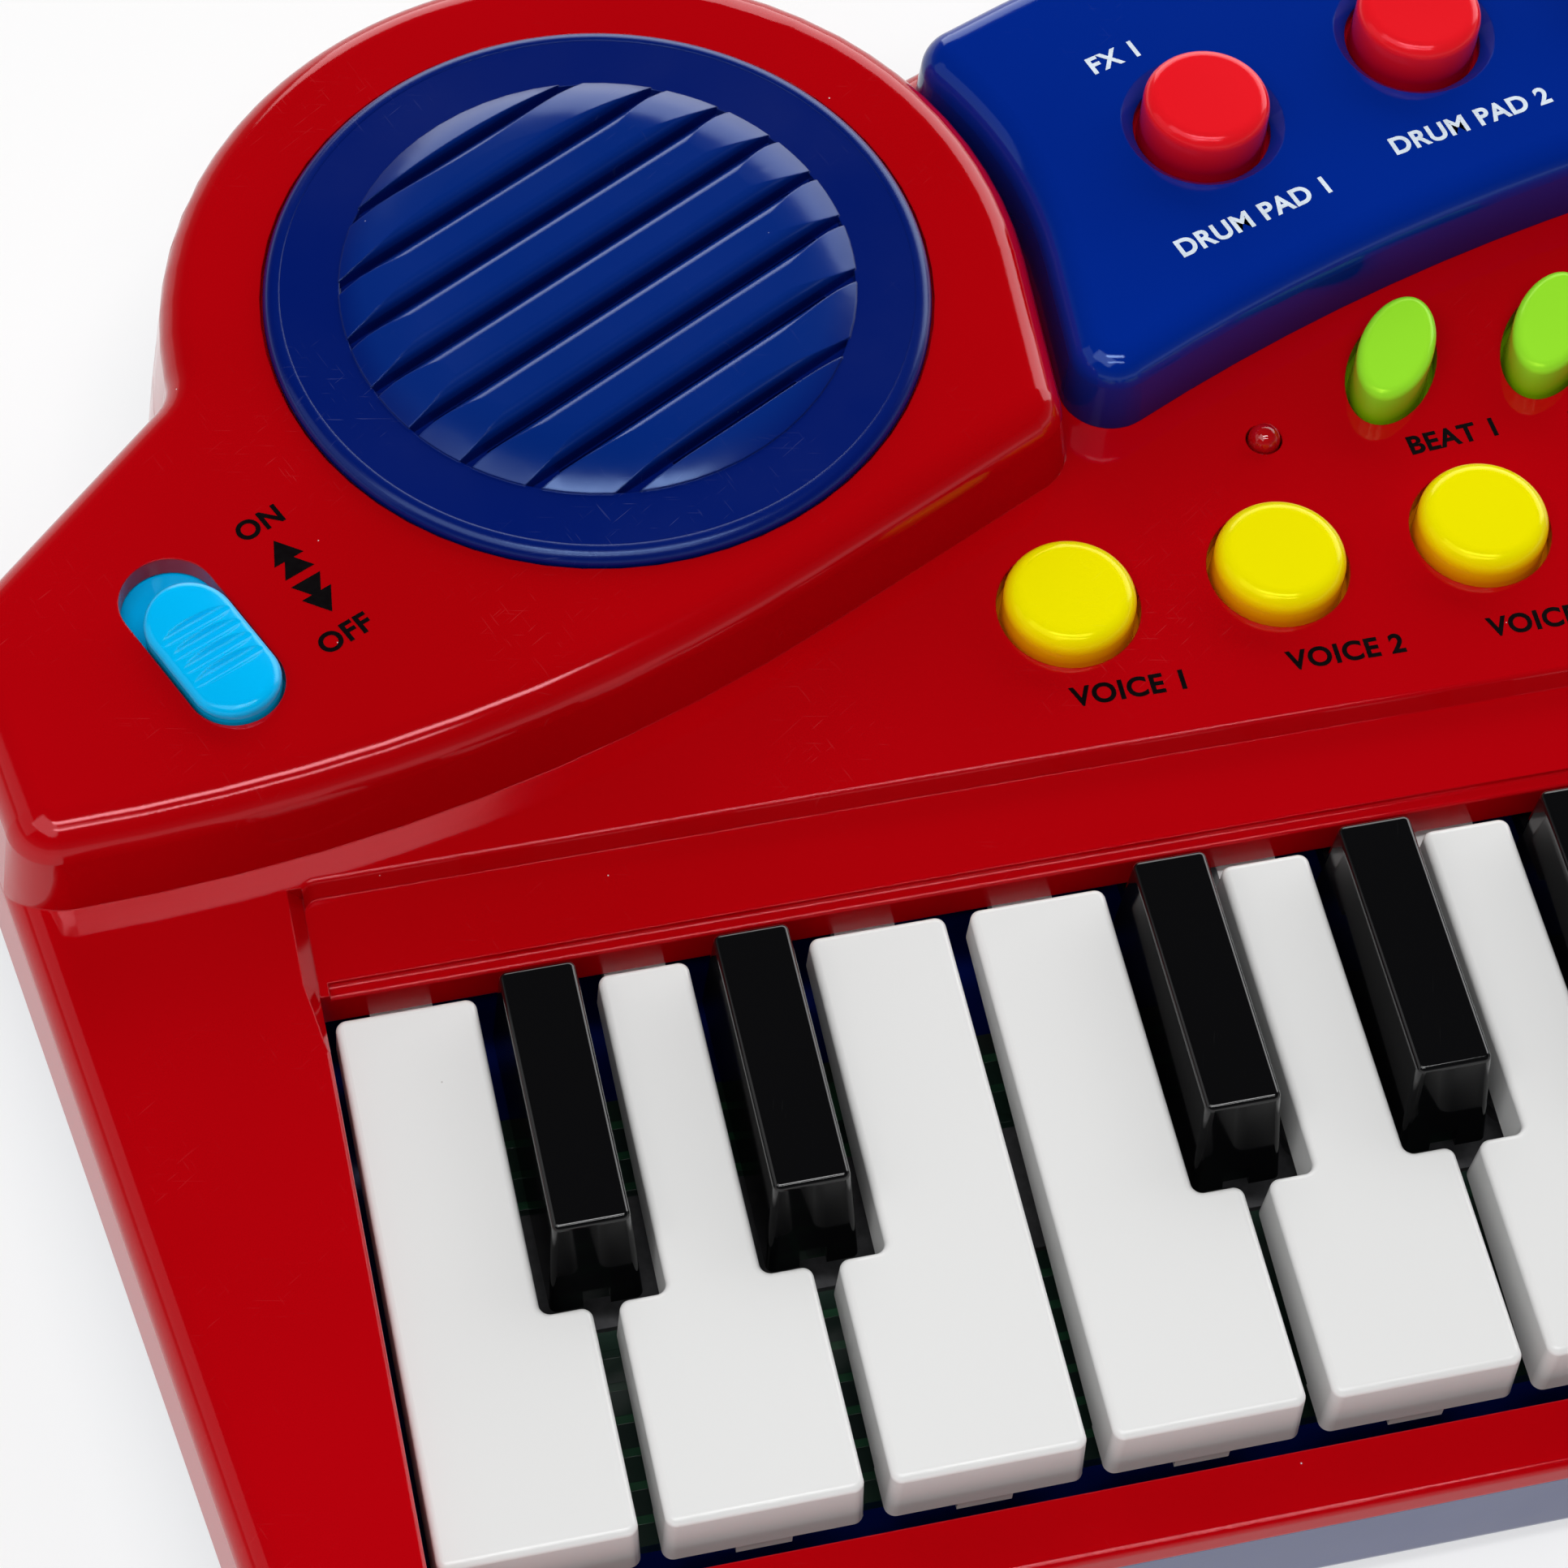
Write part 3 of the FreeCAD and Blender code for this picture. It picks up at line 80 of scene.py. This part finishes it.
# ------------------------------------------------------------------ studio
FLOOR_HALF, FLOOR_LEVEL = 3.0, -0.0001
LAMP_TARGET = Vector((-0.06, 0.0, 0.02))


def grey(value):
    """An opaque neutral colour."""
    return (value, value, value, 1)


def make_floor():
    """Pale paper that glows a little, a tenth of a millimetre below the feet."""
    data = bpy.data.meshes.new("floor")
    half, level = FLOOR_HALF, FLOOR_LEVEL
    corners = [(-half, -half, level), (half, -half, level), (half, half, level), (-half, half, level)]
    data.from_pydata(corners, [], [(0, 1, 2, 3)])
    floor = link(bpy.data.objects.new("floor", data))
    paint = bpy.data.materials.new("floor_paper")
    paint.use_nodes = True
    shader = paint.node_tree.nodes["Principled BSDF"]
    shader.inputs["Base Color"].default_value = grey(0.38)
    shader.inputs["Roughness"].default_value = 0.9
    shader.inputs["Emission Color"].default_value = grey(1)
    shader.inputs["Emission Strength"].default_value = 0.58
    data.materials.append(paint)


def make_world():
    """Pale at the horizon, where the paper sweep rises, and dark overhead between the lights."""
    world = bpy.data.worlds.new("studio")
    scene.world = world
    world.use_nodes = True
    nodes, links = world.node_tree.nodes, world.node_tree.links
    where = nodes.new("ShaderNodeTexCoord")
    split = nodes.new("ShaderNodeSeparateXYZ")
    ramp = nodes.new("ShaderNodeValToRGB")
    horizon, overhead = ramp.color_ramp.elements
    horizon.position, horizon.color = 0.05, grey(0.9)
    overhead.position, overhead.color = 0.5, grey(0.03)
    ramp.color_ramp.elements.new(0.16).color = grey(0.22)
    links.new(where.outputs["Generated"], split.inputs[0])
    links.new(split.outputs["Z"], ramp.inputs[0])
    links.new(ramp.outputs[0], nodes["Background"].inputs["Color"])
    nodes["Background"].inputs["Strength"].default_value = 1.0


def add_softbox(name, azimuth, elevation, distance, width, height, power):
    """A rectangular lamp that faces the left half of the keyboard."""
    data = bpy.data.lights.new(name, "AREA")
    data.shape = "RECTANGLE"
    data.size, data.size_y = width, height
    data.energy = power
    lamp = link(bpy.data.objects.new(name, data))
    a, e = math.radians(azimuth), math.radians(elevation)
    direction = Vector((math.sin(a) * math.cos(e), -math.cos(a) * math.cos(e), math.sin(e)))
    lamp.location = LAMP_TARGET + direction * distance
    lamp.rotation_euler = direction.to_track_quat("Z", "Y").to_euler()


make_floor()
make_world()
add_softbox("strip_high", -10, 78, 1.0, 0.60, 0.12, 3.2)
add_softbox("strip_low", -10, 60, 1.0, 0.60, 0.05, 1.6)
add_softbox("left_high", -60, 58, 1.1, 0.9, 0.6, 4.2)
add_softbox("back_right", 150, 20, 1.0, 1.8, 0.6, 10.5)
add_softbox("left_low", -95, 30, 1.1, 0.8, 0.6, 1.0)
scene.view_settings.view_transform = "Standard"


# ------------------------------------------------------------------ materials
SOFT_EDGE_RADIUS = 0.00022


class Paint:
    """A material under construction: a Principled shader and short names for its nodes."""

    def __init__(self, name, roughness):
        self.material = bpy.data.materials.new(name)
        self.material.use_nodes = True
        self.tree = self.material.node_tree
        self.shader = self.tree.nodes["Principled BSDF"]
        self.shader.inputs["Roughness"].default_value = roughness
        self.place = self.tree.nodes.new("ShaderNodeTexCoord").outputs["Object"]

    def join(self, source, target):
        """Links an output to an input."""
        self.tree.links.new(source, target)

    def turned(self, degrees, scale):
        """Object coordinates turned about Z, then scaled by a vector."""
        node = self.tree.nodes.new("ShaderNodeMapping")
        node.vector_type = "TEXTURE"
        node.inputs["Rotation"].default_value = (0, 0, math.radians(degrees))
        node.inputs["Scale"].default_value = tuple(1.0 / value for value in scale)
        self.join(self.place, node.inputs["Vector"])
        return node.outputs["Vector"]

    def noise(self, scale, detail=2.0, vector=None):
        """Soft noise from 0 to 1, over object coordinates unless a vector is given."""
        node = self.tree.nodes.new("ShaderNodeTexNoise")
        node.inputs["Scale"].default_value = scale
        node.inputs["Detail"].default_value = detail
        node.inputs["Roughness"].default_value = 0.5
        self.join(vector or self.place, node.inputs["Vector"])
        return node.outputs["Fac"]

    def between(self, value, low, high, out_low=0.0, out_high=1.0):
        """Maps a value from one range to another, and clamps it."""
        node = self.tree.nodes.new("ShaderNodeMapRange")
        node.inputs["From Min"].default_value = low
        node.inputs["From Max"].default_value = high
        node.inputs["To Min"].default_value = out_low
        node.inputs["To Max"].default_value = out_high
        self.join(value, node.inputs["Value"])
        return node.outputs["Result"]

    def math(self, operation, first, second):
        """A sum on two values, each a number or another node's output."""
        node = self.tree.nodes.new("ShaderNodeMath")
        node.operation = operation
        for socket, value in zip(node.inputs, (first, second)):
            if isinstance(value, (int, float)):
                socket.default_value = value
            else:
                self.join(value, socket)
        return node.outputs[0]

    def mix(self, factor, first, second):
        """Mixes two colours, each a colour or another node's output."""
        node = self.tree.nodes.new("ShaderNodeMix")
        node.data_type = "RGBA"
        self.join(factor, node.inputs["Factor"])
        for socket, value in zip((node.inputs[6], node.inputs[7]), (first, second)):
            if isinstance(value, tuple):
                socket.default_value = value + (1,)
            else:
                self.join(value, socket)
        return node.outputs[2]

    def specks(self, scale, size, share):
        """Small round dots, one in a share of the cells of a grid."""
        node = self.tree.nodes.new("ShaderNodeTexVoronoi")
        node.inputs["Scale"].default_value = scale
        self.join(self.place, node.inputs["Vector"])
        split = self.tree.nodes.new("ShaderNodeSeparateColor")
        self.join(node.outputs["Color"], split.inputs[0])
        near = self.between(node.outputs["Distance"], size, size * 0.6)
        chosen = self.math("LESS_THAN", split.outputs[0], share)
        return self.math("MULTIPLY", near, chosen)

    def scratches(self, degrees, amount):
        """Fine straight hairlines in one direction, in patches."""
        lines = self.noise(1.0, 1.0, self.turned(degrees, (300.0, 7000.0, 300.0)))
        patches = self.noise(55.0, 2.0)
        drawn = self.between(lines, 0.72, 0.78)
        worn = self.between(patches, 0.52, 0.75)
        return self.math("MULTIPLY", self.math("MULTIPLY", drawn, worn), amount)

    def bump(self, height, strength, distance, under=None):
        """A normal that follows a height, on top of another normal if one is given."""
        node = self.tree.nodes.new("ShaderNodeBump")
        node.inputs["Strength"].default_value = strength
        node.inputs["Distance"].default_value = distance
        self.join(height, node.inputs["Height"])
        if under is not None:
            self.join(under, node.inputs["Normal"])
        return node.outputs["Normal"]

    def soft_edges(self):
        """A normal that rounds the sharp edges a little."""
        node = self.tree.nodes.new("ShaderNodeBevel")
        node.samples = 4
        node.inputs["Radius"].default_value = SOFT_EDGE_RADIUS
        return node.outputs["Normal"]


def moulded_plastic(name, color, shade, roughness, wear=1.0, dust=(0.75, 0.72, 0.72), dust_share=0.10,
                    gloss_tint=(1, 1, 1), painted_foot_shading=None):
    """Glossy moulded plastic: faint flow marks, hairline scratches, dust specks and an uneven gloss.

    The last argument is (height, rise, color): painted shade and painted bounce light, a deeper colour at
    the bottom of the part that fades out above a height, in millimetres.
    """
    paint = Paint(name, roughness)
    flow = paint.between(paint.noise(16.0, 3.0), 0.35, 0.7)
    body_color = paint.mix(flow, color, shade)
    # Painted shade and bounce light: the colour turns deeper towards the bottom of the part.
    if painted_foot_shading is not None:
        height, rise, painted_foot_color = painted_foot_shading
        split = paint.tree.nodes.new("ShaderNodeSeparateXYZ")
        paint.join(paint.place, split.inputs[0])
        fade = paint.between(split.outputs[2], height * MM, (height + rise) * MM)
        body_color = paint.mix(fade, painted_foot_color, body_color)
    marks = paint.scratches(35.0, 0.20 * wear)
    for degrees in (112.0, 168.0):
        marks = paint.math("MAXIMUM", marks, paint.scratches(degrees, 0.16 * wear))
    pale = tuple(min(1.0, value * 1.25 + 0.12) for value in color)
    scratched = paint.mix(marks, body_color, pale)
    specks = paint.specks(300.0, 0.028, dust_share)
    dusty = paint.mix(paint.math("MULTIPLY", specks, 0.75), scratched, dust)
    paint.join(dusty, paint.shader.inputs["Base Color"])
    paint.shader.inputs["Specular Tint"].default_value = gloss_tint + (1,)
    uneven = paint.between(paint.noise(60.0, 4.0), 0.3, 0.75, roughness * 0.8, roughness * 1.35)
    rough = paint.math("ADD", uneven, paint.math("MULTIPLY", marks, 0.3))
    rough = paint.math("ADD", rough, paint.math("MULTIPLY", specks, 0.4))
    paint.join(rough, paint.shader.inputs["Roughness"])
    waves = paint.bump(paint.noise(60.0, 1.0), 0.02, 0.0005, paint.soft_edges())
    grain = paint.bump(paint.noise(1400.0, 2.0), 0.02, 0.0001, waves)
    paint.join(grain, paint.shader.inputs["Normal"])
    return paint.material


def key_plastic(name, color, shade, roughness, dirt, dirt_share):
    """Key plastic: nearly even, with soft tone changes, sparse dirt specks and a few hairlines."""
    paint = Paint(name, roughness)
    tone = paint.mix(paint.between(paint.noise(22.0, 1.0), 0.25, 0.75), color, shade)
    specks = paint.specks(210.0, 0.030, dirt_share)
    spotted = paint.mix(paint.math("MULTIPLY", specks, 0.6), tone, dirt)
    marks = paint.scratches(74.0, 0.15)
    pale = tuple(min(1.0, value + 0.05) for value in color)
    paint.join(paint.mix(marks, spotted, pale), paint.shader.inputs["Base Color"])
    uneven = paint.between(paint.noise(90.0, 3.0), 0.3, 0.7, roughness * 0.95, roughness * 1.15)
    paint.join(uneven, paint.shader.inputs["Roughness"])
    waves = paint.bump(paint.noise(70.0, 1.0), 0.02, 0.0005)
    paint.join(waves, paint.shader.inputs["Normal"])
    return paint.material


def circuit_board():
    """A lacquered board: mottled green with paler tracks in patches, all painted very dark for the shade
    under the keys.
    """
    paint = Paint("board_green", 0.35)
    tracks = paint.tree.nodes.new("ShaderNodeTexBrick")
    tracks.offset = 0.37
    tracks.inputs["Scale"].default_value = 1.0
    tracks.inputs["Mortar Size"].default_value = 0.0004
    tracks.inputs["Brick Width"].default_value = 0.017
    tracks.inputs["Row Height"].default_value = 0.0031
    # Painted shade: these colours are darker than the board's own green, for the shade under the keys.
    tracks.inputs["Color1"].default_value = (0.003, 0.022, 0.013, 1)
    tracks.inputs["Color2"].default_value = (0.004, 0.015, 0.013, 1)
    tracks.inputs["Mortar"].default_value = (0.012, 0.085, 0.035, 1)
    paint.join(paint.place, tracks.inputs["Vector"])
    mottling = paint.between(paint.noise(120.0), 0.3, 0.7)
    mottled = paint.mix(mottling, (0.002, 0.013, 0.009), (0.004, 0.03, 0.016))
    patches = paint.between(paint.noise(45.0), 0.42, 0.5)
    paint.join(paint.mix(patches, mottled, tracks.outputs["Color"]), paint.shader.inputs["Base Color"])
    paint.join(paint.bump(tracks.outputs["Fac"], 0.3, 0.0002), paint.shader.inputs["Normal"])
    return paint.material


def soft_material(name, color, shade, roughness, grain_scale, grain):
    """A dull surface with a visible grain: speaker paper, rubber or a battery's sleeve."""
    paint = Paint(name, roughness)
    grainy = paint.noise(grain_scale, 4.0)
    paint.join(paint.mix(paint.between(grainy, 0.3, 0.7), color, shade), paint.shader.inputs["Base Color"])
    paint.join(paint.bump(grainy, grain, 0.0003), paint.shader.inputs["Normal"])
    return paint.material


def tinted_lens():
    """The power lamp: cloudy dark red resin."""
    paint = Paint("lamp_red", 0.04)
    cloudy = paint.between(paint.noise(500.0), 0.3, 0.8)
    color = paint.mix(cloudy, (0.62, 0.005, 0.008), (0.42, 0.0, 0.004))
    paint.join(color, paint.shader.inputs["Base Color"])
    paint.shader.inputs["Transmission Weight"].default_value = 0.30
    paint.shader.inputs["IOR"].default_value = 1.52
    return paint.material


def zinc_steel():
    """Plated steel with an uneven gloss."""
    paint = Paint("screw_steel", 0.3)
    paint.shader.inputs["Metallic"].default_value = 1.0
    streaks = paint.noise(700.0, 3.0)
    tone = paint.mix(paint.between(streaks, 0.3, 0.7), (0.55, 0.55, 0.56), (0.34, 0.34, 0.36))
    paint.join(tone, paint.shader.inputs["Base Color"])
    paint.join(paint.between(streaks, 0.3, 0.7, 0.22, 0.45), paint.shader.inputs["Roughness"])
    return paint.material


RED_GLOSS, BLUE_GLOSS = (1.0, 0.45, 0.50), (0.40, 0.60, 1.0)
BLUE_DUST = (0.42, 0.46, 0.60)
MATERIALS = {
    "case_red": moulded_plastic("case_red", (0.45, 0.0, 0.003), (0.40, 0.0, 0.002), 0.075, 0.7,
                                gloss_tint=RED_GLOSS),
    "case_blue": moulded_plastic("case_blue", (0.001, 0.009, 0.125), (0.002, 0.007, 0.095), 0.18, 0.8,
                                 BLUE_DUST, gloss_tint=BLUE_GLOSS),
    # Painted shade: the drum panel turns a deeper blue towards the foot of its front wall.
    "drum_blue": moulded_plastic("drum_blue", (0.0, 0.021, 0.28), (0.0, 0.017, 0.235), 0.09, 0.5,
                                 BLUE_DUST, 0.06, BLUE_GLOSS, (24.0, 9.0, (0.0, 0.006, 0.09))),
    # Painted reflection: the grille is a deeper blue at the ring's level, so the bars above it look
    # lighter, as if they reflected more.
    "grille_blue": moulded_plastic("grille_blue", (0.002, 0.022, 0.20), (0.0, 0.018, 0.17), 0.20, 1.5,
                                   BLUE_DUST, 0.12, BLUE_GLOSS, (35.5, 1.2, (0.0, 0.007, 0.125))),
    "speaker_cone": soft_material("speaker_cone", (0.012, 0.012, 0.013), (0.005, 0.005, 0.006), 0.85,
                                  500.0, 0.4),
    "board_green": circuit_board(),
    "contact_rubber": soft_material("contact_rubber", (0.07, 0.07, 0.075), (0.04, 0.04, 0.045), 0.6,
                                    900.0, 0.2),
    "lamp_red": tinted_lens(),
    "battery": soft_material("battery", (0.05, 0.055, 0.06), (0.02, 0.022, 0.025), 0.3, 60.0, 0.05),
    "screw_steel": zinc_steel(),
    "key_white": key_plastic("key_white", (0.80, 0.80, 0.795), (0.775, 0.775, 0.77), 0.22,
                             (0.25, 0.23, 0.22), 0.05),
    "key_black": key_plastic("key_black", (0.0022, 0.0022, 0.0026), (0.003, 0.003, 0.0035), 0.08,
                             (0.35, 0.35, 0.37), 0.12),
    # Painted bounce light: the yellow buttons turn orange towards the deck, for red light reflected from
    # it.
    "button_yellow": moulded_plastic("button_yellow", (0.90, 0.82, 0.0), (0.86, 0.76, 0.0), 0.12, 0.2,
                                     (0.6, 0.5, 0.2), 0.04, (1.0, 0.85, 0.05),
                                     (24.8, 3.0, (1.0, 0.30, 0.0))),
    # Painted shade: the drum buttons turn a deeper red near the drum panel.
    "button_red": moulded_plastic("button_red", (0.86, 0.012, 0.02), (0.78, 0.006, 0.013), 0.13, 0.3,
                                  (0.9, 0.6, 0.6), 0.05, (1.0, 0.35, 0.45),
                                  (33.0, 3.0, (0.45, 0.0, 0.012))),
    # Painted shade and bounce light: the green buttons turn a deeper, yellower green towards the deck.
    "button_green": moulded_plastic("button_green", (0.32, 0.80, 0.03), (0.28, 0.72, 0.02), 0.13, 0.2,
                                    (0.5, 0.7, 0.3), 0.04, (0.7, 1.0, 0.08),
                                    (24.8, 3.0, (0.25, 0.50, 0.0))),
    # Painted shade: the switch turns a deeper blue below the case top, where its bed lies in the slot.
    "switch_cyan": moulded_plastic("switch_cyan", (0.0, 0.50, 0.96), (0.0, 0.45, 0.88), 0.13, 0.4,
                                   (0.25, 0.3, 0.35), 0.10, (0.4, 0.85, 1.0),
                                   (31.0, 3.0, (0.0, 0.36, 0.75))),
}
slots = {row["node"]: row["material_slot"] for row in frame["record"]["subparts"]}
for node_name, node in frame["nodes"].items():
    node.data.materials.clear()
    node.data.materials.append(MATERIALS[slots[node_name]])


# ------------------------------------------------------------------ printed labels
def ink(name, color, roughness):
    """Screen-printed ink, a little thin and uneven."""
    paint = Paint(name, roughness)
    worn = paint.between(paint.noise(1300.0, 3.0), 0.38, 0.8)
    thin = tuple(value * 0.8 + 0.002 for value in color)
    paint.join(paint.mix(worn, color, thin), paint.shader.inputs["Base Color"])
    paint.shader.inputs["Specular IOR Level"].default_value = 0.1
    return paint.material


BLACK_INK = ink("black_ink", (0.002, 0.001, 0.0015), 0.3)
WHITE_INK = ink("white_ink", (0.72, 0.82, 0.92), 0.4)
INK_RISE, INK_SINK = 0.03, 0.01
CAP_SHARE = 0.70
BOLDNESS, LETTER_SPACING, LETTER_HEIGHT = 0.085, 1.08, 2.0
ARCH_CENTRE_Y = -176.85
LOWER_WORDS_RADIUS, UPPER_WORDS_RADIUS, WORDS_LEAN = 225.5, 248.8, 0.85
SWITCH_TURN = 114.7
DECK_Z, LOBE_Z = 25.0, 34.5
DRUM_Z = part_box("drum_panel")[1][2] / MM


def new_piece(name, mesh_builder, material, body="case"):
    """Makes a mesh object from a bmesh, gives it a material and fixes it to a body of the model."""
    data = bpy.data.meshes.new(name)
    mesh_builder.to_mesh(data)
    mesh_builder.free()
    data.materials.append(material)
    piece = link(bpy.data.objects.new(name, data))
    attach(piece, body)
    return piece


def add_words(builder, words, x, y, turn, height, level):
    """Adds thin raised lettering, centred on a point in millimetres, to a mesh."""
    curve = bpy.data.curves.new("lettering", "FONT")
    curve.body = words
    curve.size = height * MM / CAP_SHARE
    curve.align_x = "CENTER"
    curve.align_y = "CENTER"
    curve.offset = BOLDNESS * MM
    curve.space_character = LETTER_SPACING
    curve.extrude = (INK_RISE + INK_SINK) * MM / 2.0
    outline = link(bpy.data.objects.new("lettering", curve))
    bpy.context.view_layer.update()
    solid = bpy.data.meshes.new_from_object(outline.evaluated_get(bpy.context.evaluated_depsgraph_get()))
    bpy.data.objects.remove(outline)
    middle = level + (INK_RISE - INK_SINK) / 2.0
    solid.transform(Matrix.Translation(Vector((x, y, middle)) * MM)
                    @ Matrix.Rotation(math.radians(turn), 4, "Z"))
    builder.from_mesh(solid)
    bpy.data.meshes.remove(solid)


def print_words(name, entries, height, level, material):
    """One piece of lettering: entries are (words, x, y, turn)."""
    builder = bmesh.new()
    for words, x, y, turn in entries:
        add_words(builder, words, x, y, turn, height, level)
    return new_piece(name, builder, material)


def on_arch(radius, degrees):
    """A point on the drum panel's arch, measured from the centre line."""
    angle = math.radians(degrees)
    return radius * math.sin(angle), ARCH_CENTRE_Y + radius * math.cos(angle)


def print_labels():
    """Numbered words under the deck's buttons and above and below the drum buttons, and ON and OFF."""
    voice_x = (-102.6, -82.0, -62.6, 62.6, 82.0, 102.6)
    voices = [("VOICE %d" % (place + 1), x, -10.4, 0.0) for place, x in enumerate(voice_x)]
    print_words("voice_labels", voices, LETTER_HEIGHT, DECK_Z, BLACK_INK)
    beats = [("BEAT %d" % (place + 1), x, 11.3, -math.copysign(4.5, x))
             for place, x in enumerate((-64.9, -48.6, 48.6, 64.9))]
    print_words("beat_labels", beats, LETTER_HEIGHT, DECK_Z, BLACK_INK)
    lower, upper = [], []
    for place, degrees in enumerate((-20.6, -14.2, -8.0, 8.0, 14.2, 20.6)):
        lean = -degrees * WORDS_LEAN
        lower.append(("DRUM PAD %d" % (place + 1), *on_arch(LOWER_WORDS_RADIUS, degrees), lean))
        upper.append(("FX %d" % (place + 1), *on_arch(UPPER_WORDS_RADIUS, degrees), lean))
    print_words("drum_labels", lower + upper, LETTER_HEIGHT, DRUM_Z, WHITE_INK)
    switch = [("ON", -178.1, 16.15, SWITCH_TURN - 90.0), ("OFF", -172.5, 2.95, SWITCH_TURN - 90.0)]
    print_words("switch_labels", switch, LETTER_HEIGHT, LOBE_Z, BLACK_INK)


def double_arrow(builder, x, y, turn):
    """Two overlapping triangles that point the same way, as one outline, from a middle point."""
    length, half, step = 2.5, 1.55, 1.75
    notch = half * (length - step) / length
    outline = [(0, -half), (step, -notch), (step, -half), (step + length, 0), (step, half),
               (step, notch), (0, half)]
    way = (Matrix.Translation(Vector((x, y, LOBE_Z - INK_SINK)) * MM)
           @ Matrix.Rotation(math.radians(turn), 4, "Z"))
    rims = []
    for height in (0.0, INK_RISE + INK_SINK):
        rims.append([builder.verts.new(way @ (Vector((a, b, height)) * MM)) for a, b in outline])
    low, high = rims
    builder.faces.new(list(reversed(low)))
    builder.faces.new(high)
    for place in range(len(low)):
        after = (place + 1) % len(low)
        builder.faces.new((low[place], low[after], high[after], high[place]))


def print_arrows():
    """The two double arrows between ON and OFF, which point away from each other."""
    middle_x, middle_y, apart = -175.2, 9.85, 0.45
    builder = bmesh.new()
    for turn in (SWITCH_TURN, SWITCH_TURN + 180.0):
        way = Vector((math.cos(math.radians(turn)), math.sin(math.radians(turn)))) * apart
        double_arrow(builder, middle_x + way.x, middle_y + way.y, turn)
    new_piece("switch_arrows", builder, BLACK_INK)


print_labels()
print_arrows()


# ------------------------------------------------------------------ turned rims of the speaker grilles
GRILLE_CROWN_RISE = 1.7
RIM_STEPS, LATHE_STEPS = 12, 288


def lathe(builder, x, y, profile, round_rows):
    """Turns a profile of (radius, height) corners in millimetres about an upright axis.

    round_rows are the rows of faces that are shaded as one smooth surface.
    """
    rings = []
    for step in range(LATHE_STEPS):
        angle = math.tau * step / LATHE_STEPS
        rings.append([builder.verts.new(Vector((x + radius * math.cos(angle), y + radius * math.sin(angle),
                                                height)) * MM) for radius, height in profile])
    count = len(profile)
    for step in range(LATHE_STEPS):
        here, there = rings[step], rings[(step + 1) % LATHE_STEPS]
        for row in range(count):
            after = (row + 1) % count
            face = builder.faces.new((here[row], there[row], there[after], here[after]))
            face.smooth = row in round_rows


def make_grille_rims():
    """Smooth turned covers for the rounded rim of each grille, just proud of it."""
    low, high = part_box("speaker_grilles")
    ring_radius = (high[1] - low[1]) / MM / 2.0
    middle_x, middle_y = high[0] / MM - ring_radius, (high[1] + low[1]) / MM / 2.0
    cover, thickness, round_radius, depth, flat_width = 0.04, 0.3, 1.3, 1.9, 0.3
    flat = high[2] / MM - GRILLE_CROWN_RISE + cover
    outer = ring_radius + cover
    lip = outer - round_radius - flat_width
    profile = [(lip - 0.05, flat - thickness), (lip - 0.05, flat - 0.03), (lip, flat)]
    for step in range(RIM_STEPS + 1):
        angle = math.radians(90.0 - step * 90.0 / RIM_STEPS)
        profile.append((outer - round_radius + round_radius * math.cos(angle),
                        flat - round_radius + round_radius * math.sin(angle)))
    profile += [(outer, flat - depth), (outer - thickness, flat - depth),
                (outer - thickness, flat - round_radius), (outer - round_radius, flat - thickness)]
    for side, sign in (("left", -1), ("right", 1)):
        builder = bmesh.new()
        lathe(builder, sign * middle_x, middle_y, profile, range(2, len(profile) - 4))
        bmesh.ops.recalc_face_normals(builder, faces=builder.faces)
        new_piece("grille_rim_" + side, builder, MATERIALS["grille_blue"])


make_grille_rims()
